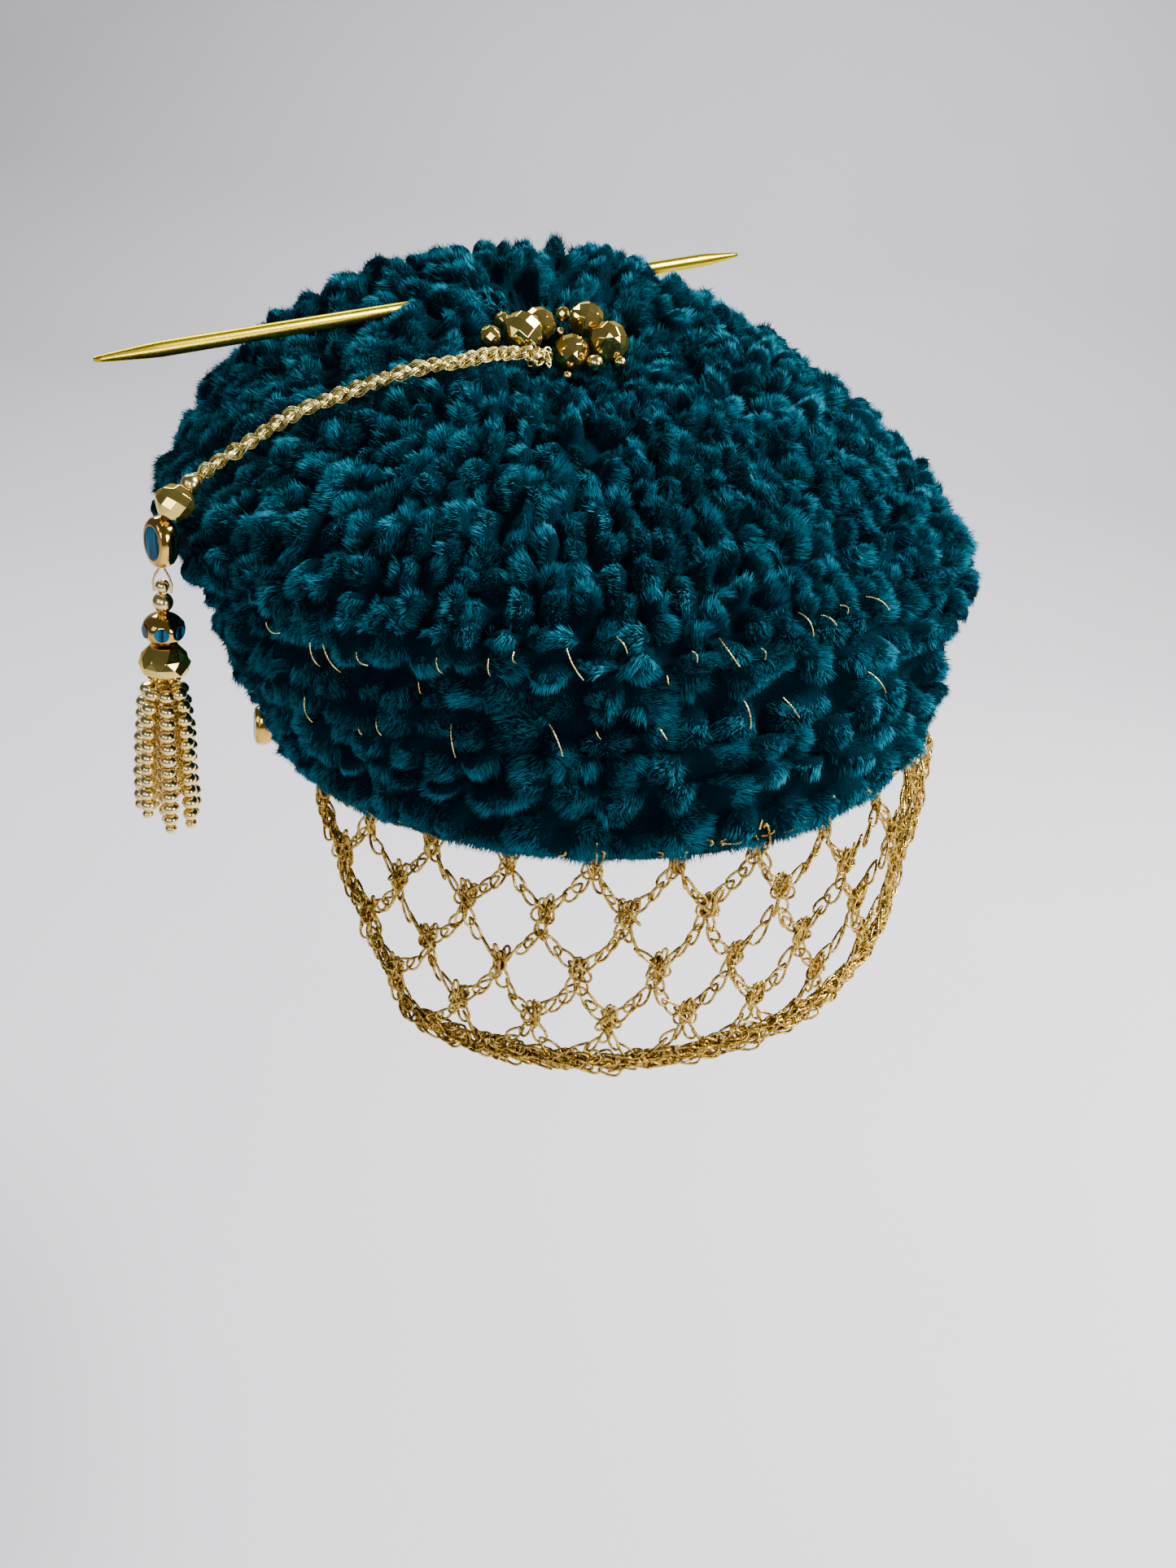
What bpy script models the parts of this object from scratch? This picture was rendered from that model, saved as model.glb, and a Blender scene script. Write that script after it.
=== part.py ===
"""A knitted chenille beret worn as a cocktail hat.

The frame is the head opening's: +Z up, the wearer's face towards -Y, their left side towards +X.
The origin is the middle of the head opening. Sizes are in metres.
"""

import math

import bmesh
import bpy
from mathutils import Matrix, Vector
from mathutils.bvhtree import BVHTree

GAP = 0.0003  # clearance between pieces that touch

# Head opening and rim, which rises towards the forehead and over the wearer's left ear.
HEAD_HALF_WIDTH = 0.0750
HEAD_HALF_LENGTH = 0.0925
RIM_HEIGHT = 0.0017
RIM_RISE_FORWARD = 0.207
RIM_RISE_LEFTWARD = 0.159
RIM_CURVE = 0.90
WALL = 0.0065

# The puffed crown is worn turned on the head, in axes of its own.
CROWN_TURN = math.radians(-22)
EDGE_MIDDLE = (-0.0109, 0.0078)
EDGE_HALF = (0.1043, 0.1020)
EDGE_HEIGHT = 0.0533
EDGE_RISE_RIGHT = 0.016
EDGE_RISE_FORWARD = 0.049
SUMMIT = (-0.0277, 0.0403)
SUMMIT_HEIGHT = 0.1104
INNER_DROP = 0.015  # the top is folded over the needle, so it is thicker there than the wall
INNER_EDGE_DROP = 0.002
CENTRE = (-0.018, 0.009)  # where the rows of stitches end, under the bead cluster
DIP_AT = (-0.0131, 0.0069)
DIP_DEPTH = 0.0159
DIP_WIDTH = 0.0237
INNER_DIP_SHARE = 0.9
FOLD_COVER = 0.0075  # fabric over the needle's axis, along the fold that it goes through
FOLD_ENDS = (-0.003, 0.050)  # along the needle, from its middle
FOLD_STEEPNESS = 60.0
FOLD_END_STEEPNESS = 84.0
FOLD_BLEND = 0.003
BAND_SHARE = 0.62  # part of the side that is the fitted band
BAND_BULGE = 0.0024
VALLEY_AT = 0.74  # the same way up the side, where the puffed top folds over the band
VALLEY_WIDTH = 0.09
VALLEY_DEPTH = 0.0030
BAND_AT_BACK = 0.2  # how much of the band's relief is left at the back
BAND_FRONT = math.radians(-104)
SIDE_HOLLOW = 0.0015  # how much the sides draw in between the rim and the widest line

# How full the crown is between its summit and its edge, by direction round the summit.
FULLNESS = (
    {"direction": 0, "power": 1.67},
    {"direction": 45, "power": 2.38},
    {"direction": 90, "power": 2.11},
    {"direction": 135, "power": 2.49},
    {"direction": 180, "power": 2.11},
    {"direction": 225, "power": 1.34},
    {"direction": 270, "power": 1.24},
    {"direction": 315, "power": 1.30},
)

STITCH_ROWS = 18
ROW_RELIEF = 0.0007
CROWN_SIDES = 48
INNER_RINGS = 12

# Net over the face, in columns and rows of crocheted loops.
NET_COLUMNS = 12
NET_HALF_SPAN = math.radians(74.5)
NET_ARC_RADIUS = 0.0860
NET_TURN = math.radians(3)  # the net sits a little towards the wearer's left
NET_ROW_DROPS = (0.0008, 0.0168, 0.0322, 0.0466, 0.0582)
NET_SHORTER_AT_ENDS = 0.20
NET_STAND_OFF = 0.0045
NET_TAPER = 0.05
NET_SPREAD = 0.008  # how far the net stands off the cheek on the wearer's left
NET_SPREAD_DROP = 0.011
NET_STRAND = 0.0024
NET_BAND = 0.0022
NET_THICKNESS = 0.0022
LOOP_SLACK = 1.6  # how much a loop drops before it spreads

# Double-pointed needle, through the fold behind the cluster.
NEEDLE_LENGTH = 0.203
NEEDLE_RADIUS = 0.00175
NEEDLE_POINT = 0.014
NEEDLE_TIP_RADIUS = 0.0006
NEEDLE_MIDDLE = (-0.0445, 0.0330, 0.0980)
NEEDLE_HEADING = math.radians(45.6)
NEEDLE_RISE = math.radians(5.9)

# Cluster of beads in the dip, by where each rests in the crown's axes.
RONDELLE_SHARE = 0.85  # height of a cut bead for its diameter
SEED_SHARE = 0.9
CLUSTER_RONDELLES = (
    {"x": -0.0271, "y": 0.0045, "diameter": 0.0097, "heading": 20},
    {"x": -0.0241, "y": 0.0134, "diameter": 0.0082, "heading": 75},
    {"x": -0.0151, "y": 0.0081, "diameter": 0.0086, "heading": -35},
    {"x": -0.0129, "y": 0.0184, "diameter": 0.0086, "heading": 50},
    {"x": -0.0066, "y": 0.0121, "diameter": 0.0097, "heading": 100},
)
CLUSTER_BEADS = (
    {"x": -0.0343, "y": 0.0000, "diameter": 0.0050, "lift": 0.0},
    {"x": -0.0326, "y": 0.0093, "diameter": 0.0040, "lift": 0.0},
    {"x": -0.0190, "y": 0.0209, "diameter": 0.0036, "lift": 0.0},
    {"x": -0.0189, "y": 0.0184, "diameter": 0.0026, "lift": 0.0},
    {"x": -0.0090, "y": 0.0054, "diameter": 0.0040, "lift": 0.0028},  # on the thread between two cut beads
    {"x": -0.0153, "y": 0.0037, "diameter": 0.0024, "lift": 0.0},
    {"x": -0.0030, "y": 0.0077, "diameter": 0.0030, "lift": 0.0018},
)

# Chain from the cluster over the crown, by its plan in the crown's axes.
CHAIN_RADIUS = 0.0015
CHAIN_CLEARANCE = 0.0006
CHAIN_RISE = 0.0025  # where it starts, on the pile in front of the cluster
CHAIN_RISE_POINTS = 4
CHAIN_POINTS = 24
CHAIN_ROUTE = (
    (-0.0212, 0.0030), (-0.0240, -0.0008), (-0.0270, -0.0022), (-0.0299, -0.0056), (-0.0324, -0.0112),
    (-0.0350, -0.0161), (-0.0380, -0.0200), (-0.0411, -0.0224), (-0.0441, -0.0238), (-0.0515, -0.0278),
    (-0.0580, -0.0295), (-0.0645, -0.0328), (-0.0700, -0.0358), (-0.0757, -0.0382), (-0.0810, -0.0410),
    (-0.0862, -0.0436), (-0.0907, -0.0470),
)

# Pendant at the chain's end, in the crown's axes.
ROUND_BEAD = 0.0043
ROUND_BEAD_AT = (-0.0905, -0.0511, 0.0668)
FACETED_BEAD = 0.0076
FACETED_BEAD_SHARE = 0.94
FACETED_BEAD_AT = (-0.0919, -0.0576, 0.0646)
PENDANT_AT = (-0.0950, -0.0579)
WINDOW_WIDTH = 0.0085
WINDOW_HEIGHT = 0.0117
WINDOW_THICKNESS = 0.0046
WINDOW_LEVEL = 0.0555
WINDOW_TURN = math.radians(52)
LOOP_HEIGHT = 0.0023
LOOP_WIDTH = 0.0025
LOOP_WIRE = 0.00035
HANGING_BEADS = (
    {"name": "seed_bead_1", "cut": False, "glass": False, "diameter": 0.0032, "height": 0.0028},
    {"name": "seed_bead_2", "cut": False, "glass": False, "diameter": 0.0046, "height": 0.0041},
    {"name": "round_window_bead", "cut": True, "glass": True, "diameter": 0.0094, "height": 0.0078},
    {"name": "tassel_rondelle", "cut": True, "glass": False, "diameter": 0.0109, "height": 0.0080},
)
TASSEL_STRANDS = 9
TASSEL_RINGS = 12
TASSEL_STRAND = 0.0015
TASSEL_HEAD_RADIUS = 0.0023
TASSEL_FOOT_RADIUS = 0.0061
TASSEL_CAP = 0.0030
TASSEL_LENGTH = 0.0337
TASSEL_UNEVEN = 0.0035
TASSEL_SPREAD = 0.7
TASSEL_WAIST = 0.72  # between two beads of a strand
SIDE_BEAD_AT = (-0.0866, -0.0063, -0.0127)
SIDE_BEAD_TURN = math.radians(20)


def clear_scene():
    for obj in list(bpy.data.objects):
        bpy.data.objects.remove(obj, do_unlink=True)


def material(name, colour, roughness, metallic=0.0):
    made = bpy.data.materials.new(name)
    made.use_nodes = True
    shader = made.node_tree.nodes["Principled BSDF"]
    shader.inputs["Base Color"].default_value = (*colour, 1.0)
    shader.inputs["Roughness"].default_value = roughness
    shader.inputs["Metallic"].default_value = metallic
    return made


def add_object(name, bm, surface):
    mesh = bpy.data.meshes.new(name)
    bmesh.ops.recalc_face_normals(bm, faces=bm.faces)
    bm.to_mesh(mesh)
    bm.free()
    mesh.shade_smooth()
    mesh.set_sharp_from_angle(angle=math.radians(40))
    mesh.materials.append(surface)
    obj = bpy.data.objects.new(name, mesh)
    bpy.context.scene.collection.objects.link(obj)
    return obj


def worn(x, y, z):
    """A point given in the crown's own axes, as it lies on the head."""
    return Matrix.Rotation(CROWN_TURN, 3, "Z") @ Vector((x, y, z))


def rim_height(point):
    sloped = RIM_HEIGHT - RIM_RISE_FORWARD * point.y + RIM_RISE_LEFTWARD * point.x
    return sloped + RIM_CURVE * point.x * point.x


def head_point(angle, grown):
    """A point of the head opening's outline, grown outwards, at the rim's height."""
    across = HEAD_HALF_WIDTH + grown
    along = HEAD_HALF_LENGTH + grown
    reach = 1 / math.hypot(math.cos(angle) / across, math.sin(angle) / along)
    point = Vector((reach * math.cos(angle), reach * math.sin(angle), 0))
    point.z = rim_height(point)
    return point


def edge_height(x, y):
    return EDGE_HEIGHT + EDGE_RISE_RIGHT * (x - EDGE_MIDDLE[0]) - EDGE_RISE_FORWARD * y


def edge_point(angle, inset):
    """A point of the crown's widest line, in the crown's axes."""
    x = EDGE_MIDDLE[0] + (EDGE_HALF[0] - inset) * math.cos(angle)
    y = EDGE_MIDDLE[1] + (EDGE_HALF[1] - inset) * math.sin(angle)
    return x, y


def fullness(angle):
    """The power of the crown's section in this direction, eased between the table's rows."""
    step = 360 / len(FULLNESS)
    place = (math.degrees(angle) % 360) / step
    first = int(place) % len(FULLNESS)
    second = (first + 1) % len(FULLNESS)
    share = (1 - math.cos(math.pi * (place - int(place)))) / 2
    return FULLNESS[first]["power"] * (1 - share) + FULLNESS[second]["power"] * share


def reach_to_edge(dx, dy, inset):
    """How far the widest line lies from the summit in the direction (dx, dy)."""
    half_x = EDGE_HALF[0] - inset
    half_y = EDGE_HALF[1] - inset
    px = (SUMMIT[0] - EDGE_MIDDLE[0]) / half_x
    py = (SUMMIT[1] - EDGE_MIDDLE[1]) / half_y
    qx = dx / half_x
    qy = dy / half_y
    a = qx * qx + qy * qy
    b = px * qx + py * qy
    c = px * px + py * py - 1
    return (-b + math.sqrt(b * b - a * c)) / a


def fold_height(x, y):
    """Height of the pinched fold that wraps the needle, falling off beside it and past its ends."""
    dx, dy = x - NEEDLE_MIDDLE[0], y - NEEDLE_MIDDLE[1]
    along = dx * math.cos(NEEDLE_HEADING) + dy * math.sin(NEEDLE_HEADING)
    across = dy * math.cos(NEEDLE_HEADING) - dx * math.sin(NEEDLE_HEADING)
    past = max(FOLD_ENDS[0] - along, along - FOLD_ENDS[1], 0.0)
    crest = NEEDLE_MIDDLE[2] + along * math.tan(NEEDLE_RISE) + FOLD_COVER
    return crest - FOLD_STEEPNESS * across * across - FOLD_END_STEEPNESS * past * past


def top_height(x, y, inner):
    """Height of the crown's upper side over a point of its plan."""
    inset = WALL if inner else 0.0
    summit = SUMMIT_HEIGHT - (INNER_DROP if inner else 0.0)
    dx, dy = x - SUMMIT[0], y - SUMMIT[1]
    distance = math.hypot(dx, dy) or 1e-6
    reach = reach_to_edge(dx / distance, dy / distance, inset)
    power = fullness(math.atan2(dy, dx))
    out = min(distance / reach, 1.0)
    foot = edge_height(SUMMIT[0] + dx / distance * reach, SUMMIT[1] + dy / distance * reach)
    foot -= INNER_EDGE_DROP if inner else 0.0
    rise = (1 - out**power) ** (1 / power)
    from_dip = math.hypot(x - DIP_AT[0], y - DIP_AT[1])
    dip = DIP_DEPTH * math.exp(-((from_dip / DIP_WIDTH) ** 2))
    height = foot + (summit - foot) * rise - dip * (INNER_DIP_SHARE if inner else 1.0)
    if inner:
        return height
    fold = fold_height(x, y)
    return FOLD_BLEND * math.log(math.exp(height / FOLD_BLEND) + math.exp(fold / FOLD_BLEND))


def side_points(angle, inner, count=24):
    """The section's side, from the rim up to the widest line."""
    inset = WALL if inner else 0.0
    foot = head_point(angle, WALL - inset)
    x, y = edge_point(angle - CROWN_TURN, inset)
    height = edge_height(x, y) - (INNER_EDGE_DROP if inner else 0.0)
    edge = worn(x, y, height)
    outward = Vector((math.cos(angle), math.sin(angle), 0))
    towards_front = max(0.0, math.cos(angle - BAND_FRONT))
    points = []
    for step in range(count):
        share = step / count
        point = foot.lerp(edge, share)
        point -= outward * SIDE_HOLLOW * math.sin(math.pi * share) * (1 - towards_front)
        if not inner:
            bulge = BAND_BULGE * math.sin(math.pi * min(share / BAND_SHARE, 1.0))
            valley = VALLEY_DEPTH * math.exp(-(((share - VALLEY_AT) / VALLEY_WIDTH) ** 2))
            point += outward * (bulge - valley) * (BAND_AT_BACK + (1 - BAND_AT_BACK) * towards_front)
        points.append(point)
    return points


def top_points(angle, inner, count=60):
    """The section's upper side, from the widest line to the centre of the stitch rows."""
    inset = WALL if inner else 0.0
    edge = edge_point(angle - CROWN_TURN, inset)
    points = []
    for step in range(count + 1):
        share = math.sin(math.pi / 2 * step / count) ** 2
        x = edge[0] + (CENTRE[0] - edge[0]) * share
        y = edge[1] + (CENTRE[1] - edge[1]) * share
        points.append(worn(x, y, top_height(x, y, inner)))
    return points


def evenly(points, count):
    """The same line with its points at equal distances along it."""
    lengths = [0.0]
    for a, b in zip(points, points[1:]):
        lengths.append(lengths[-1] + (b - a).length)
    result = []
    at = 0
    for step in range(count + 1):
        target = lengths[-1] * step / count
        while at < len(points) - 2 and lengths[at + 1] < target:
            at += 1
        span = lengths[at + 1] - lengths[at]
        share = (target - lengths[at]) / span if span else 0.0
        result.append(points[at].lerp(points[at + 1], min(share, 1.0)))
    return result


def crown_grid(bm, inner):
    """Rings of vertices from the rim to the centre, the last ring a single vertex."""
    rings = INNER_RINGS if inner else 2 * STITCH_ROWS
    columns = []
    for side in range(CROWN_SIDES):
        angle = 2 * math.pi * side / CROWN_SIDES
        section = side_points(angle, inner) + top_points(angle, inner)
        columns.append(evenly(section, rings))
    grid = [[bm.verts.new(column[ring]) for column in columns] for ring in range(rings)]
    pole = bm.verts.new(columns[0][rings])
    for lower, upper in zip(grid, grid[1:]):
        for side in range(CROWN_SIDES):
            after = (side + 1) % CROWN_SIDES
            bm.faces.new((lower[side], lower[after], upper[after], upper[side]))
    for side in range(CROWN_SIDES):
        bm.faces.new((grid[-1][side], grid[-1][(side + 1) % CROWN_SIDES], pole))
    return grid


def raise_stitch_rows(bm, grid):
    """Each row of stitches is a rib, with a groove between it and the next."""
    bm.normal_update()
    for ring, verts in enumerate(grid):
        lift = ROW_RELIEF if ring % 2 else -ROW_RELIEF
        for vert in verts:
            vert.co += vert.normal * lift * (1 if ring else 0)


def needle_direction():
    flat = math.cos(NEEDLE_RISE)
    return worn(
        flat * math.cos(NEEDLE_HEADING), flat * math.sin(NEEDLE_HEADING), math.sin(NEEDLE_RISE)
    )


def make_needle_shape(radius, point_length, tip_radius, length):
    """A rod with a long taper to each end, turned about Z."""
    half = length / 2
    bm = bmesh.new()
    profile = (
        (0.0, half),
        (tip_radius, half - tip_radius),
        (radius * 0.72, half - point_length * 0.55),
        (radius, half - point_length),
        (radius, point_length - half),
        (radius * 0.72, point_length * 0.55 - half),
        (tip_radius, tip_radius - half),
        (0.0, -half),
    )
    verts = [bm.verts.new((r, 0, z)) for r, z in profile]
    edges = [bm.edges.new(pair) for pair in zip(verts, verts[1:])]
    bmesh.ops.spin(
        bm, geom=verts + edges, axis=(0, 0, 1), cent=(0, 0, 0), steps=12, angle=math.tau, use_merge=True
    )
    bmesh.ops.remove_doubles(bm, verts=bm.verts, dist=1e-6)
    return bm


def place_along(obj, middle, direction):
    obj.matrix_world = Matrix.Translation(middle) @ direction.to_track_quat("Z", "Y").to_matrix().to_4x4()


def make_needle(surface):
    bm = make_needle_shape(NEEDLE_RADIUS, NEEDLE_POINT, NEEDLE_TIP_RADIUS, NEEDLE_LENGTH)
    needle = add_object("needle", bm, surface)
    place_along(needle, worn(*NEEDLE_MIDDLE), needle_direction())
    return needle


def make_crown(surface):
    bm = bmesh.new()
    outer = crown_grid(bm, inner=False)
    raise_stitch_rows(bm, outer)
    inner = crown_grid(bm, inner=True)
    for side in range(CROWN_SIDES):
        after = (side + 1) % CROWN_SIDES
        bm.faces.new((outer[0][after], outer[0][side], inner[0][side], inner[0][after]))
    skin = BVHTree.FromBMesh(bm)
    crown = add_object("crown", bm, surface)
    bore = bmesh.new()
    bmesh.ops.create_cone(
        bore, cap_ends=True, segments=12, radius1=NEEDLE_RADIUS + 2 * GAP,
        radius2=NEEDLE_RADIUS + 2 * GAP, depth=NEEDLE_LENGTH,
    )
    cutter = add_object("needle_bore", bore, surface)
    place_along(cutter, worn(*NEEDLE_MIDDLE), needle_direction())
    cutter.hide_render = True
    cutter.display_type = "WIRE"
    cut = crown.modifiers.new("needle_bore", "BOOLEAN")
    cut.operation = "DIFFERENCE"
    cut.object = cutter
    return skin


def net_node(row, place):
    """A knot of the net laid flat: half columns from the middle across, and the drop below the rim."""
    across = place / NET_COLUMNS * NET_HALF_SPAN * NET_ARC_RADIUS
    share = place / NET_COLUMNS
    shorter = 1 - NET_SHORTER_AT_ENDS * share * share
    return Vector((across, -NET_ROW_DROPS[row] * shorter, 0))


def net_strand(row, place, towards, steps=3):
    """Points of a crocheted loop from a knot down to the next row's knot, without its last point."""
    top = net_node(row, place)
    bottom = net_node(row + 1, place + towards)
    points = []
    for step in range(steps):
        share = step / steps
        points.append(Vector((
            top.x + (bottom.x - top.x) * share**LOOP_SLACK, top.y + (bottom.y - top.y) * share, 0
        )))
    return points


def net_cells():
    """Outlines of the net's gaps, laid flat."""
    last = len(NET_ROW_DROPS) - 1
    cells = []
    for row in range(last):
        for place in range(row - NET_COLUMNS, NET_COLUMNS - row + 1, 2):
            left, right = place - 1, place + 1
            inside = abs(left) <= NET_COLUMNS - row - 1 and abs(right) <= NET_COLUMNS - row - 1
            if row == 0 and place < NET_COLUMNS:
                down = net_strand(0, place, 1) + [net_node(1, place + 1)]
                up = net_strand(0, place + 2, -1)[:0:-1]
                cells.append(down + up + [net_node(0, place + 2), net_node(0, place + 1)])
            if not inside:
                continue
            if row + 2 <= last:
                outline = net_strand(row, place, 1) + net_strand(row + 1, right, -1)
                outline += [net_node(row + 2, place)]
                outline += net_strand(row + 1, left, 1)[:0:-1] + [net_node(row + 1, left)]
                outline += net_strand(row, place, -1)[:0:-1]
            else:
                outline = net_strand(row, place, 1) + [net_node(last, right), net_node(last, place)]
                outline += [net_node(last, left)] + net_strand(row, place, -1)[:0:-1]
            cells.append(outline)
    return cells


def hang(point):
    """A point of the flat net, hung from the rim round the face."""
    turn = point.x / NET_ARC_RADIUS
    drop = -point.y
    spread = NET_SPREAD * max(0.0, math.sin(turn)) * (1 - math.exp(-((drop / NET_SPREAD_DROP) ** 2)))
    grown = NET_STAND_OFF - NET_TAPER * drop + spread
    turn += NET_TURN
    hung = Vector((
        (HEAD_HALF_WIDTH + grown) * math.sin(turn), -(HEAD_HALF_LENGTH + grown) * math.cos(turn), 0
    ))
    hung.z = rim_height(hung) - 2 * GAP - drop
    return hung


def make_net(surface):
    bm = bmesh.new()
    for outline in net_cells():
        bm.faces.new([bm.verts.new(point) for point in outline])
    bmesh.ops.remove_doubles(bm, verts=bm.verts, dist=1e-5)
    cells = list(bm.faces)
    border = [edge for edge in bm.edges if edge.is_boundary]
    outward = {}
    for edge in border:
        along = (edge.verts[1].co - edge.verts[0].co).normalized()
        across = Vector((along.y, -along.x, 0))
        middle = (edge.verts[0].co + edge.verts[1].co) / 2
        if across.dot(edge.link_faces[0].calc_center_median() - middle) > 0:
            across.negate()
        for vert in edge.verts:
            outward[vert] = outward.get(vert, Vector()) + across
    before = {vert.co.copy().freeze(): push for vert, push in outward.items()}
    made = bmesh.ops.extrude_edge_only(bm, edges=border)
    for vert in (item for item in made["geom"] if isinstance(item, bmesh.types.BMVert)):
        push = before[vert.co.copy().freeze()].normalized() * NET_BAND
        if vert.co.y > -NET_ROW_DROPS[0] * 1.01:
            push.y = 0.8 * NET_ROW_DROPS[0]
        vert.co += push
    bmesh.ops.inset_individual(bm, faces=cells, thickness=NET_STRAND / 2, use_even_offset=True)
    bmesh.ops.delete(bm, geom=cells, context="FACES")
    for vert in bm.verts:
        vert.co = hang(vert.co)
    net = add_object("face_net", bm, surface)
    thicken = net.modifiers.new("thickness", "SOLIDIFY")
    thicken.thickness = NET_THICKNESS
    thicken.offset = 0
    return net


def rest_on_crown(x, y, radius, surface):
    """The centre of a ball let down over this point of the crown until it touches."""
    centre = worn(x, y, SUMMIT_HEIGHT + 0.02)
    for _ in range(60):
        spare = surface.find_nearest(centre)[3] - radius - GAP
        if spare < 1e-5:
            break
        centre.z -= spare
    return centre


def press_on_crown(point, lift, surface):
    """The point moved to stand this far off the nearest part of the crown."""
    nearest, normal, _, _ = surface.find_nearest(point)
    return nearest + normal * lift


def faceted_bead(diameter, height, sides=10):
    """A cut bead: a flat at each end and three belts of facets between."""
    belts = (
        {"width": 0.42, "level": 0.50, "turn": 0.0},
        {"width": 0.84, "level": 0.28, "turn": 0.5},
        {"width": 1.00, "level": 0.00, "turn": 0.0},
        {"width": 0.84, "level": -0.28, "turn": 0.5},
        {"width": 0.42, "level": -0.50, "turn": 0.0},
    )
    bm = bmesh.new()
    for belt in belts:
        for side in range(sides):
            angle = math.tau * (side + belt["turn"]) / sides
            out = diameter / 2 * belt["width"]
            bm.verts.new((out * math.cos(angle), out * math.sin(angle), height * belt["level"]))
    bmesh.ops.convex_hull(bm, input=bm.verts)
    return bm


def round_bead(diameter, height):
    bm = bmesh.new()
    bmesh.ops.create_uvsphere(bm, u_segments=10, v_segments=5, radius=diameter / 2)
    bmesh.ops.scale(bm, vec=(1, 1, height / diameter), verts=bm.verts)
    return bm


def window_bead(width, height, thickness, sides=12):
    """A flat oval bead with a ground window on each face and a rounded rim between."""
    belts = ((0.70, 0.50), (0.92, 0.38), (1.00, 0.00), (0.92, -0.38), (0.70, -0.50))
    bm = bmesh.new()
    for out, level in belts:
        for side in range(sides):
            angle = math.tau * side / sides
            bm.verts.new((
                level * thickness, out * width / 2 * math.cos(angle), out * height / 2 * math.sin(angle)
            ))
    bmesh.ops.convex_hull(bm, input=bm.verts)
    return bm


def place(obj, centre, axis=None, turn=0.0):
    """Puts a bead where it goes, with the thread's hole along the axis."""
    matrix = Matrix.Rotation(turn, 4, "Z")
    if axis is not None:
        matrix = axis.to_track_quat("Z", "Y").to_matrix().to_4x4() @ matrix
    obj.matrix_world = Matrix.Translation(centre) @ matrix


def make_cluster(surface, metal):
    for number, bead in enumerate(CLUSTER_RONDELLES, 1):
        bm = faceted_bead(bead["diameter"], bead["diameter"] * RONDELLE_SHARE)
        obj = add_object(f"cluster_rondelle_{number}", bm, metal)
        heading = math.radians(bead["heading"])
        axis = worn(math.cos(heading), math.sin(heading), 0)
        place(obj, rest_on_crown(bead["x"], bead["y"], bead["diameter"] / 2, surface), axis)
    for number, bead in enumerate(CLUSTER_BEADS, 1):
        bm = round_bead(bead["diameter"], bead["diameter"] * SEED_SHARE)
        obj = add_object(f"cluster_bead_{number}", bm, metal)
        rest = rest_on_crown(bead["x"], bead["y"], bead["diameter"] / 2, surface)
        place(obj, rest + Vector((0, 0, bead["lift"])))


def chain_route(surface):
    """The chain's line over the crown, from the cluster to the first bead of the pendant."""
    route = []
    for x, y in CHAIN_ROUTE:
        over = worn(x, y, top_height(x, y, inner=False))
        route.append(press_on_crown(over, CHAIN_RADIUS + CHAIN_CLEARANCE, surface))
    return route


def smooth_through(points, count):
    """Points along the smooth curve that passes through the given ones."""
    padded = [2 * points[0] - points[1], *points, 2 * points[-1] - points[-2]]
    dense = []
    for a, b, c, d in zip(padded, padded[1:], padded[2:], padded[3:]):
        for step in range(8):
            t = step / 8
            dense.append(0.5 * (
                2 * b + (c - a) * t + (2 * a - 5 * b + 4 * c - d) * t**2 + (3 * b - a - 3 * c + d) * t**3
            ))
    return evenly(dense + [points[-1]], count)


def make_chain(surface, thread):
    points = smooth_through(chain_route(surface), CHAIN_POINTS)
    rises = [CHAIN_RISE * max(0.0, 1 - step / CHAIN_RISE_POINTS) for step in range(len(points))]
    lift = CHAIN_RADIUS + CHAIN_CLEARANCE
    points = [press_on_crown(p, lift + rise, surface) for p, rise in zip(points, rises)]
    curve = bpy.data.curves.new("tassel_chain", "CURVE")
    curve.dimensions = "3D"
    curve.bevel_depth = CHAIN_RADIUS
    curve.bevel_resolution = 1
    curve.use_fill_caps = True
    spline = curve.splines.new("POLY")
    spline.points.add(len(points) - 1)
    for slot, point in zip(spline.points, points):
        slot.co = (*point, 1)
    curve.materials.append(thread)
    chain = bpy.data.objects.new("tassel_chain", curve)
    bpy.context.scene.collection.objects.link(chain)
    return points


def make_wire_loop(height, width, wire):
    """A closed loop of wire standing in the XZ plane."""
    bm = bmesh.new()
    bmesh.ops.create_circle(bm, segments=5, radius=wire)
    bmesh.ops.rotate(bm, verts=bm.verts, matrix=Matrix.Rotation(math.pi / 2, 3, "Y"))
    bmesh.ops.translate(bm, verts=bm.verts, vec=(0, 0, width / 2 - wire))
    bmesh.ops.spin(
        bm, geom=list(bm.verts) + list(bm.edges), axis=(0, 1, 0), cent=(0, 0, 0),
        steps=14, angle=math.tau, use_merge=True,
    )
    bmesh.ops.remove_doubles(bm, verts=bm.verts, dist=1e-6)
    stretch = (height / 2 - wire) / (width / 2 - wire)
    for vert in bm.verts:
        out = math.hypot(vert.co.x, vert.co.z) or 1.0
        spine = (width / 2 - wire) / out
        vert.co.z += vert.co.z * spine * (stretch - 1)
    return bm


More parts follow.
